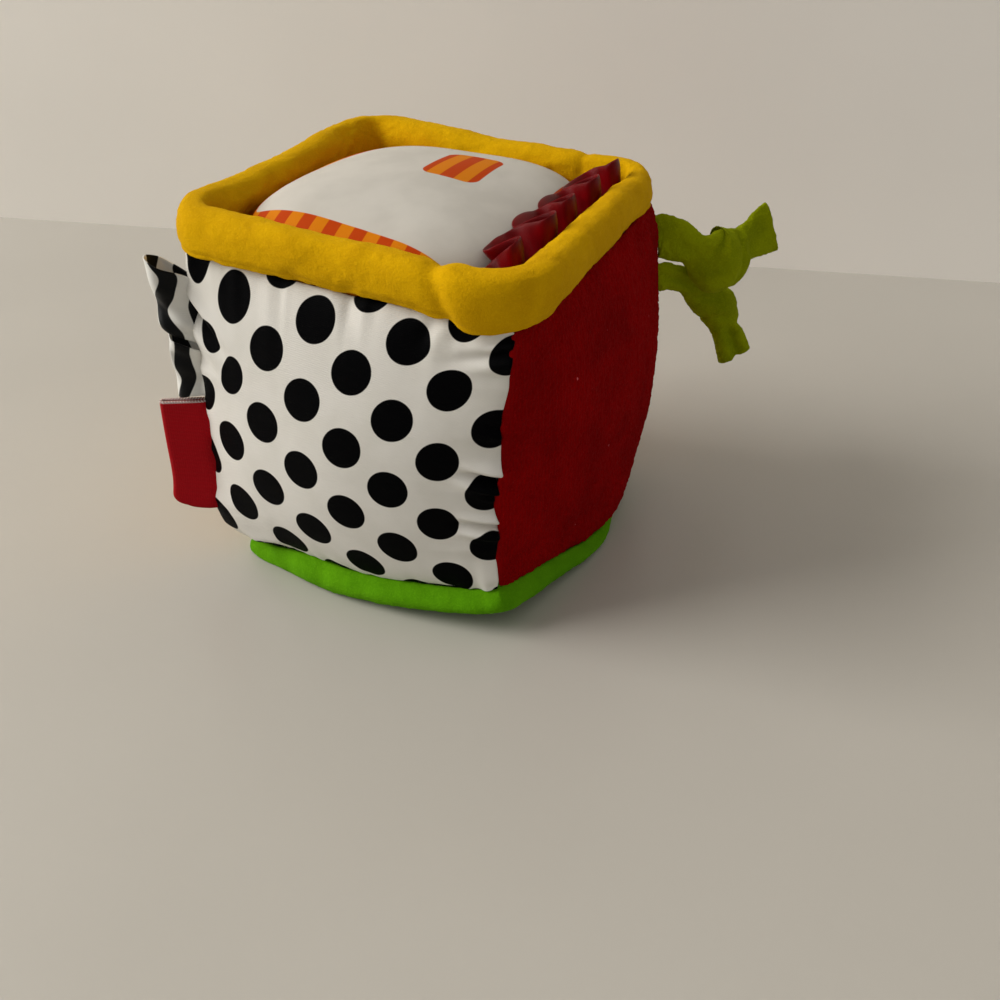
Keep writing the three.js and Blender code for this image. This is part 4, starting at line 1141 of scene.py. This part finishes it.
def build_ruffle():
    """A ribbon folded in two along its length and gathered, so that its soft edge stands in round loops."""
    rise = unit(np.array([-RUFFLE_LEAN, 0, RUFFLE_RISE]))
    across = np.array([rise[2], 0, -rise[0]])
    foot = np.array([TOP_WIDTH / 2 - COLLAR_HALF - RUFFLE_OFFSET, 0, SEWN_GAP])
    rows = RUFFLE_ROWS
    t, up = np.meshgrid(np.linspace(-1, 1, RUFFLE_STEPS + 1), np.linspace(0, 1, rows + 1))
    phase = math.pi * RUFFLE_FOLDS * (t + lumps(t[..., None], *FOLD_PLACES)) + FIRST_FOLD
    spread = up**FOLD_POWER
    size = 1 + lumps(t[..., None], *FOLD_DEPTHS)
    offset = RUFFLE_DEPTH * size * spread * np.sin(phase) + FOOT_PLEAT * (1 - up) * np.sin(phase * 5)
    slide = spread * (RUFFLE_HEAD * np.cos(phase) - RUFFLE_LOOP * np.sin(2 * phase))
    slide += RUFFLE_BOW * spread * (np.cos(phase) ** 2 - 0.5)
    hang = HEAD_HANG * up**2 * smooth(-np.sin(phase))
    length = math.hypot(RUFFLE_RISE, RUFFLE_LEAN) * up
    taper = 1 - FRONT_DROP * ramp(t, -DROP_START, -1) - BACK_DROP * ramp(t, DROP_START, 1)
    middle = foot + rise * (length * taper)[..., None] + across * offset[..., None]
    middle[..., 1] += t * RUFFLE_LENGTH / 2 + slide
    middle[..., 2] += border_height(middle[..., 0], middle[..., 1]) - hang
    # Where it leans over the pad it lies on it
    pad = top_point(middle[..., 0] / (TOP_WIDTH / 2), middle[..., 1] / (TOP_DEPTH / 2))[..., 2]
    middle[..., 2] = np.maximum(middle[..., 2], pad + PAD_GAP * smooth(3 * up))
    fullness = RUFFLE_THICKNESS + RUFFLE_EDGE * ramp(up, *EDGE_SHARES)
    side = surface_normals(middle) * (fullness * np.sqrt(np.maximum(0, 1 - up**7)))[..., None]
    points = np.concatenate([middle + side, (middle - side)[-2::-1]])
    cloth = np.stack([t * RUFFLE_LENGTH, length], axis=-1)
    cloth = np.concatenate([cloth, cloth[-2::-1]])
    loop, columns = points.shape[:2]
    faces = grid_faces(loop, columns, wrap_rows=True).tolist()
    for column, turned in ((0, False), (columns - 1, True)):
        for k in range(rows):
            ring = [k, k + 1, loop - 2 - k, loop - 1 - k] if k + 1 < rows else [k, k + 1, loop - 1 - k]
            face = [row * columns + column for row in ring]
            faces.append(face[::-1] if turned else face)
    mesh = new_mesh("ruffle", points, faces, cloth)
    return new_piece("satin_ruffle", mesh, RUFFLE_SATIN)


ruffle_piece = build_ruffle()


# Loops, label and tails, sewn into the vertical seams

def seam_at(sx, sy, height):
    return settled(vertical_seam(sx, sy, seam_share(sx, sy, height)))


def on_seam(sx, sy, turned, out, side, height):
    """Points out, sideways and up from a vertical seam, facing its corner's diagonal turned by degrees."""
    turn = math.atan2(sy, sx) + math.radians(turned)
    root = seam_at(sx, sy, height)
    x = root[..., 0] + out * math.cos(turn) - side * math.sin(turn)
    y = root[..., 1] + out * math.sin(turn) + side * math.cos(turn)
    return np.stack([x, y, np.broadcast_to(height, x.shape)], axis=-1)


# Flat sizes are in metres, across the seam's length and then along the way out and back
UPPER_LOOP = dict(
    opening=8.0, root=84.6, width=18.2, tip_width=17.7, tip_rise=5.9, reach=8.4, turned=-21,
    node="ribbon_loop_upper", flat=(0.018, 0.024),
)
LOWER_LOOP = dict(
    opening=4.8, root=64.8, width=12.4, tip_width=17.6, tip_rise=5.2, reach=6.4, turned=-18,
    node="ribbon_loop_lower", flat=(0.0176, 0.019),
)
LOOP_SPREAD, LOOP_TWIST, LOOP_WAVE, LOOP_BELLY = 1.1, 0.9, 0.5, 1.9
LOOP_CRUMPLE, CRUMPLE_CELL, LOOP_RIPPLE, RIPPLE_CELL = 1.1, 2.2, 0.5, 1.6
RIBBON_THICKNESS, ROOT_DEPTH = 0.3, 1.2


def build_loop(name, loop, seed):
    u = np.linspace(0.02, 0.98, 61) * 2 * math.pi
    v = np.linspace(-1, 1, 25)
    turn, v = np.meshgrid(u, v)
    out = (1 - np.cos(turn)) / 2
    spread = LOOP_SPREAD / 2 * np.cos(turn / 2)
    side = spread + loop["opening"] / 2 * np.sin(turn) * out**0.6
    high = loop["root"] + loop["tip_rise"] * out
    low = high - (loop["width"] + (loop["tip_width"] - loop["width"]) * out)
    height = low + (high - low) * (1 + v) / 2
    # A soft twist: the outer fold leans one way at its top and the other way at its foot
    side = side + out * (LOOP_TWIST * v + LOOP_WAVE * np.sin(math.pi * 1.5 * v))
    side += LOOP_CRUMPLE * noise(np.stack([turn * 2, v * 5], axis=-1), CRUMPLE_CELL, seed)
    height = height + LOOP_RIPPLE * out * noise(turn[..., None] * 2, RIPPLE_CELL, seed + 1)
    reach = -ROOT_DEPTH + (loop["reach"] + LOOP_BELLY) * out
    points = on_seam(*FRONT_LEFT, loop["turned"], reach, side, height)
    length = loop["reach"] * turn / math.pi
    cloth = np.stack([length + seed, height], axis=-1)
    mesh = new_mesh(name, points, grid_faces(*points.shape[:2]), cloth)
    piece = new_piece(name, mesh, RIBBON_SATIN)
    return thickened(piece, RIBBON_THICKNESS)


# The label's lower outer corner is pulled in and up, and its tape bows a little
LABEL = dict(
    width=33.3, reach=12.4, thickness=0.8, opening=1.1, spread=1.15, root_length=3.0, turned=-17,
    corner=5.0, corner_in=3.2, corner_up=1.6, bow=0.35, flat=(0.0333, 0.028),
)
TAPE_SHARE = 0.8


def build_label():
    half_leaf = np.linspace(0, 1, 15)
    bend = LABEL["opening"] / 2 + LABEL["thickness"] / 2
    straight = LABEL["reach"] + ROOT_DEPTH - bend - LABEL["thickness"] / 2
    turns = np.linspace(-90, 90, 9)[1:-1]
    along = half_leaf * straight
    x = np.concatenate([along, straight + bend * np.cos(np.radians(turns)), along[::-1]])
    leaf = LABEL["spread"] / 2 + (bend - LABEL["spread"] / 2) * smooth(along / LABEL["root_length"])
    y = np.concatenate([-leaf, bend * np.sin(np.radians(turns)), leaf[::-1]])
    run = np.concatenate([[0], np.cumsum(np.hypot(np.diff(x), np.diff(y)))])
    level = LABEL_TOP - LABEL["width"] * np.linspace(1, 0, 41)
    x, height = np.meshgrid(x, level)
    y = np.broadcast_to(y, x.shape)
    low = np.clip(1 - (height - level[0]) / LABEL["corner"], 0, 1)
    out_share = np.clip(x / LABEL["reach"], 0, 1)
    x = x - LABEL["corner_in"] * low**2 * out_share**3
    height = height + LABEL["corner_up"] * low**2 * out_share**2
    y = y + LABEL["bow"] * np.sin(math.pi * (height - LABEL_TOP) / LABEL["width"]) * out_share
    points = on_seam(*FRONT_LEFT, LABEL["turned"], x - ROOT_DEPTH, y, height)
    cloth = np.stack(np.broadcast_arrays(run[None], level[:, None]), axis=-1)
    mesh = new_mesh("label", points, grid_faces(*points.shape[:2]), cloth)
    piece = new_piece("woven_label", mesh, LABEL_TAPE)
    return thickened(piece, LABEL["thickness"] * TAPE_SHARE)


STRIP_WIDTH = 17.0
# Rows run from the seam to the free end: distance out, rise and sideways shift as shares of the reach, then
# half height and half thickness as shares of the strip's width. The knot lies at a row's number
UPPER_TAIL = dict(root=78.04, held=(71.6, 84.5), node="tail_upper", flat=(0.017, 0.058), reach=38.5,
                  knot=5.0, groove=0.35, rows=[
    (0, 0, 0, 0.38, 0.04), (0.05, 0, 0, 0.38, 0.07), (0.16, -0.05, -0.02, 0.36, 0.12),
    (0.28, -0.13, -0.06, 0.33, 0.18), (0.37, -0.18, -0.09, 0.48, 0.3), (0.47, -0.21, -0.1, 0.6, 0.38),
    (0.57, -0.19, -0.08, 0.52, 0.35), (0.66, -0.15, -0.05, 0.38, 0.24), (0.74, -0.13, -0.03, 0.34, 0.15),
    (0.85, -0.09, -0.01, 0.42, 0.12), (0.96, -0.05, 0, 0.47, 0.1),
])
LOWER_TAIL = dict(root=65.56, held=(61.1, 70.0), node="tail_lower", flat=(0.017, 0.052), reach=30.0,
                  knot=4.7, groove=0.8, rows=[
    (0, 0, 0, 0.26, 0.04), (0.07, 0, 0, 0.26, 0.07), (0.26, -0.07, 0.06, 0.25, 0.12),
    (0.5, -0.24, 0.18, 0.27, 0.2), (0.69, -0.4, 0.27, 0.35, 0.3), (0.81, -0.52, 0.29, 0.4, 0.35),
    (0.88, -0.66, 0.25, 0.33, 0.26), (0.92, -0.78, 0.2, 0.29, 0.18), (0.97, -0.93, 0.16, 0.31, 0.2),
    (1.02, -1.06, 0.14, 0.32, 0.2),
])
TAIL_COUNT, TAIL_SIDES = 90, 40
TAIL_ROOT_LENGTH, TAIL_GAP = 9.0, 0.2
# Creases of the knot, where it wraps the strip, and how much they nip its height and thickness
WRAP, WRAP_WIDTH, NIPS, KNOT_REACH = 1.2, 1 / 3, (0.16, 0.22), 1.6
GROOVE_WIDTH = 0.3
TAIL_LUMPS, TAIL_FADE = [(0.5, 7.0), (0.12, 3.0)], 4.0


def smooth_rows(rows, count):
    """Resamples a table's columns with a smooth curve through its rows."""
    rows = np.array(rows)
    t = np.linspace(0, len(rows) - 1, count)
    i = np.clip(t.astype(int), 0, len(rows) - 2)
    f = (t - i)[:, None]
    before, after = rows[np.maximum(i - 1, 0)], rows[np.minimum(i + 2, len(rows) - 1)]
    a, b = rows[i], rows[i + 1]
    first, second = (b - before) / 2, (after - a) / 2
    h00, h10 = 2 * f**3 - 3 * f**2 + 1, f**3 - 2 * f**2 + f
    h01, h11 = -2 * f**3 + 3 * f**2, f**3 - f**2
    return t, h00 * a + h10 * first + h01 * b + h11 * second


def build_tail(name, tail, seed):
    count, sides = TAIL_COUNT, TAIL_SIDES
    t, rows = smooth_rows(tail["rows"], count)
    centre = rows[:, [0, 2, 1]] * tail["reach"]
    ahead = unit(np.gradient(centre, axis=0))
    up = unit(np.stack([-ahead[:, 2], np.zeros(count), ahead[:, 0]], axis=1))
    side = np.cross(up, ahead)
    turn = np.linspace(0, 2 * math.pi, sides, endpoint=False)
    rings = []
    for k in range(count):
        slant = t[k] - tail["knot"] - np.sin(turn)
        crease = bell(slant, WRAP, WRAP_WIDTH) + bell(slant, -WRAP, WRAP_WIDTH)
        high, thick = (STRIP_WIDTH * rows[k, 3 + i] * (1 - NIPS[i] * crease) for i in (0, 1))
        # Away from the knot the strip is a folded ribbon with a groove along its middle
        away = smooth(np.abs(t[k] - tail["knot"]) - KNOT_REACH)
        groove = tail["groove"] * bell(np.sin(turn), 0, GROOVE_WIDTH) * away
        ring = centre[k] + up[k] * (high * np.sin(turn))[:, None]
        rings.append(ring + side[k] * (thick * (1 - groove) * np.cos(turn))[:, None])
    local = np.array(rings)
    wander = sum(lumps(local, *lump, seed + number) for number, lump in enumerate(TAIL_LUMPS))
    local = local + unit(local - centre[:, None]) * (wander * ramp(local[..., 0], 0, TAIL_FADE))[..., None]
    follow = local[..., 2] * np.maximum(0, 1 - local[..., 0] / TAIL_ROOT_LENGTH)
    root = on_seam(*BACK_RIGHT, 0, local[..., 0] + TAIL_GAP, local[..., 1], tail["root"] + follow)
    root[..., 2] = tail["root"] + local[..., 2]
    length = np.concatenate([[0], np.cumsum(np.linalg.norm(np.diff(centre, axis=0), axis=1))])
    cloth = np.stack(np.broadcast_arrays(length[:, None], (turn * STRIP_WIDTH / math.pi)[None]), axis=-1)
    faces = grid_faces(count, sides, wrap_columns=True).tolist()
    faces.append(list(range(sides))[::-1])
    faces.append([(count - 1) * sides + i for i in range(sides)])
    mesh = new_mesh(name, root, faces, cloth)
    return new_piece(name, mesh, TAIL_VELOUR)


loop_pieces = {
    "upper_ribbon": build_loop("ribbon_upper", UPPER_LOOP, 2),
    "lower_ribbon": build_loop("ribbon_lower", LOWER_LOOP, 8),
}
label_piece = build_label()
tail_pieces = {
    "upper_tail": build_tail("velour_tail_upper", UPPER_TAIL, 61),
    "lower_tail": build_tail("velour_tail_lower", LOWER_TAIL, 71),
}


# Simulation, finer meshes and pile

COLLAR_NAP, TAIL_NAP = (0.12, 1.5), (0.16, 1.1)
inflate_all()

for name, piece in panel_pieces.items():
    if name == "bottom":
        points = coordinates(piece.data)
        points[:, 2] = np.maximum(points[:, 2], 0)
        move_points(piece.data, points)
    refined(piece, PANELS[name].get("levels", 1))
    if "nap" in PANELS[name]:
        add_nap(piece, *PANELS[name]["nap"], 200 + len(name))
refined(collar_piece)
add_nap(collar_piece, *COLLAR_NAP, 211)
for number, piece in enumerate(tail_pieces.values()):
    refined(piece)
    add_nap(piece, *TAIL_NAP, 221 + number)
refined(padding_piece)
refined(ruffle_piece)

# The filling takes the form of its solids, roughened and kept clear of the cloth
FILL_GAP, FOOT_GAP, FOOT_GAP_HEIGHTS = 2.8, 2.4, (16.0, 4.0)
FILL_LUMP, FILL_CORE = (0.4, 6.0, 9), 25.0
fill_pieces = {}
for name in ("fill_lower", "fill_upper"):
    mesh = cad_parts[name].data.copy()
    mesh.materials.clear()
    piece = new_piece("fibre_" + name, mesh, FIBRE_WAD)
    points = coordinates(mesh) / MM
    outward = points - CENTRE
    shrunk = FILL_GAP + FOOT_GAP * ramp(points[:, 2], *FOOT_GAP_HEIGHTS) + lumps(points, *FILL_LUMP)
    points -= unit(outward) * (shrunk * (np.linalg.norm(outward, axis=1) > FILL_CORE))[:, None]
    move_points(mesh, settled(points) * MM)
    fill_pieces[name] = piece


# What each piece rides on and which solid it replaces

def part_of_block(piece, node):
    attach(piece, "block")
    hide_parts(node)


for name, piece in panel_pieces.items():
    part_of_block(piece, name + "_panel")
part_of_block(collar_piece, "collar_cover")
part_of_block(padding_piece, "collar_padding")
part_of_block(ruffle_piece, "ruffle")
for name, piece in fill_pieces.items():
    part_of_block(piece, name)


def tab(piece, body, node, slot, flat, sx, sy, low, high, turned):
    """Hides the solid that the tab replaces and bakes the tab's placement into its mesh."""
    root = seam_at(sx, sy, (low + high) / 2)
    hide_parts(node)
    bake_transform(piece)


for body, loop in (("upper_ribbon", UPPER_LOOP), ("lower_ribbon", LOWER_LOOP)):
    tab(loop_pieces[body], body, loop["node"], "zebra_ribbon", loop["flat"],
        *FRONT_LEFT, loop["root"] - loop["width"], loop["root"], loop["turned"])
tab(label_piece, "label", "label_loop", "woven_label", LABEL["flat"],
    *FRONT_LEFT, LABEL_TOP - LABEL["width"], LABEL_TOP, LABEL["turned"])
for body, tail in (("upper_tail", UPPER_TAIL), ("lower_tail", LOWER_TAIL)):
    tab(tail_pieces[body], body, tail["node"], "tail_velour", tail["flat"], *BACK_RIGHT, *tail["held"], 0)

# The capsule's halves and its beads keep their solids' meshes
for material, names in (
    (SHELL_PLASTIC, ("rattle_shell_lower", "rattle_shell_upper")),
    (BEAD_PLASTIC, ("rattle_bead_1", "rattle_bead_2", "rattle_bead_3")),
):
    for name in names:
        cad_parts[name].data.materials.clear()
        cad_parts[name].data.materials.append(material)


# Camera, floor and light

CAMERA_AZIMUTH, CAMERA_ELEVATION, CAMERA_ROLL = 27.4, 33.3, -1.8
CAMERA_DISTANCE, CAMERA_LENS, SENSOR = 374.0, 39.6, 36.0
CAMERA_TARGET = np.array([0.0, 35.0, -17.5])


def set_camera():
    azimuth, elevation = math.radians(CAMERA_AZIMUTH), math.radians(CAMERA_ELEVATION)
    level = Vector((math.sin(azimuth), -math.cos(azimuth), 0))
    back = level * math.cos(elevation) + Vector((0, 0, math.sin(elevation)))
    right = (-back).cross(Vector((0, 0, 1))).normalized()
    up = right.cross(-back)
    roll = math.radians(CAMERA_ROLL)
    right, up = (
        math.cos(roll) * right + math.sin(roll) * up,
        -math.sin(roll) * right + math.cos(roll) * up,
    )
    data = bpy.data.cameras.new("camera")
    data.lens, data.sensor_width, data.sensor_height = CAMERA_LENS, SENSOR, SENSOR
    data.clip_start, data.clip_end = 0.01, 20
    camera = new_object("camera", data)
    place = Matrix((right, up, back)).transposed().to_4x4()
    place.translation = (Vector(CAMERA_TARGET) + back * CAMERA_DISTANCE) * MM
    camera.matrix_world = place
    bpy.context.scene.camera = camera


def area_light(name, place, target, size, power, colour=(1, 1, 1)):
    data = bpy.data.lights.new(name, "AREA")
    data.size, data.energy, data.color = size, power, colour
    light = new_object(name, data)
    light.location = place
    light.rotation_euler = (Vector(target) - Vector(place)).to_track_quat("-Z", "Y").to_euler()


def plain_sheet(name, corners, light, dark, one_sided=False):
    graph = Graph(name, 0.32, specular=0.4)
    stain = graph.noise(graph.place(), 160.0, 3.0)
    graph.colour(graph.mix(graph.step(stain, 0.3, 0.7), light, dark))
    if one_sided:
        # Seen from its back the sheet is clear, so that it hides nothing from there
        nodes, links = graph.tree.nodes, graph.tree.links
        side, clear, blend = (nodes.new(kind) for kind in (
            "ShaderNodeNewGeometry", "ShaderNodeBsdfTransparent", "ShaderNodeMixShader"))
        links.new(side.outputs["Backfacing"], blend.inputs[0])
        links.new(graph.shader.outputs[0], blend.inputs[1])
        links.new(clear.outputs[0], blend.inputs[2])
        links.new(blend.outputs[0], nodes["Material Output"].inputs["Surface"])
    mesh = bpy.data.meshes.new(name)
    mesh.from_pydata(corners, [], [(0, 1, 2, 3)])
    new_piece(name, mesh, graph.material)


set_camera()
# The wall's foot passes through two places on the floor. Here and for the lights, lengths are in metres
FLOOR_REACH = 2.5
WALL_FOOT = np.array([-0.084, 0.205]), np.array([0.133, 0.252])
along_wall = unit(WALL_FOOT[1] - WALL_FOOT[0])
left_end, right_end = WALL_FOOT[0] - along_wall * FLOOR_REACH, WALL_FOOT[0] + along_wall * FLOOR_REACH
off_wall = np.array([along_wall[1], -along_wall[0]]) * FLOOR_REACH
floor_corners = [(*place, 0) for place in (
    left_end + off_wall, right_end + off_wall, right_end - off_wall, left_end - off_wall,
)]
wall_corners = [(*left_end, 0), (*right_end, 0), (*right_end, FLOOR_REACH), (*left_end, FLOOR_REACH)]
plain_sheet("floor", floor_corners, rgb(190, 185, 175), rgb(186, 181, 171))
plain_sheet("wall", wall_corners, rgb(240, 235, 226), rgb(236, 231, 222), True)
LIT_PLACE = (0, 0, 0.04)
area_light("key", (-2.60, -1.17, 1.87), LIT_PLACE, size=2.2, power=126.0, colour=(1.0, 0.98, 0.95))
area_light("fill", (0.75, -0.9, 0.7), LIT_PLACE, size=1.0, power=0.8)
world = bpy.context.scene.world or bpy.data.worlds.new("world")
bpy.context.scene.world = world
world.use_nodes = True
background = world.node_tree.nodes["Background"]
background.inputs["Color"].default_value = (0.97, 0.96, 0.95, 1)
background.inputs["Strength"].default_value = 0.32
bpy.context.scene.view_settings.view_transform = "Standard"
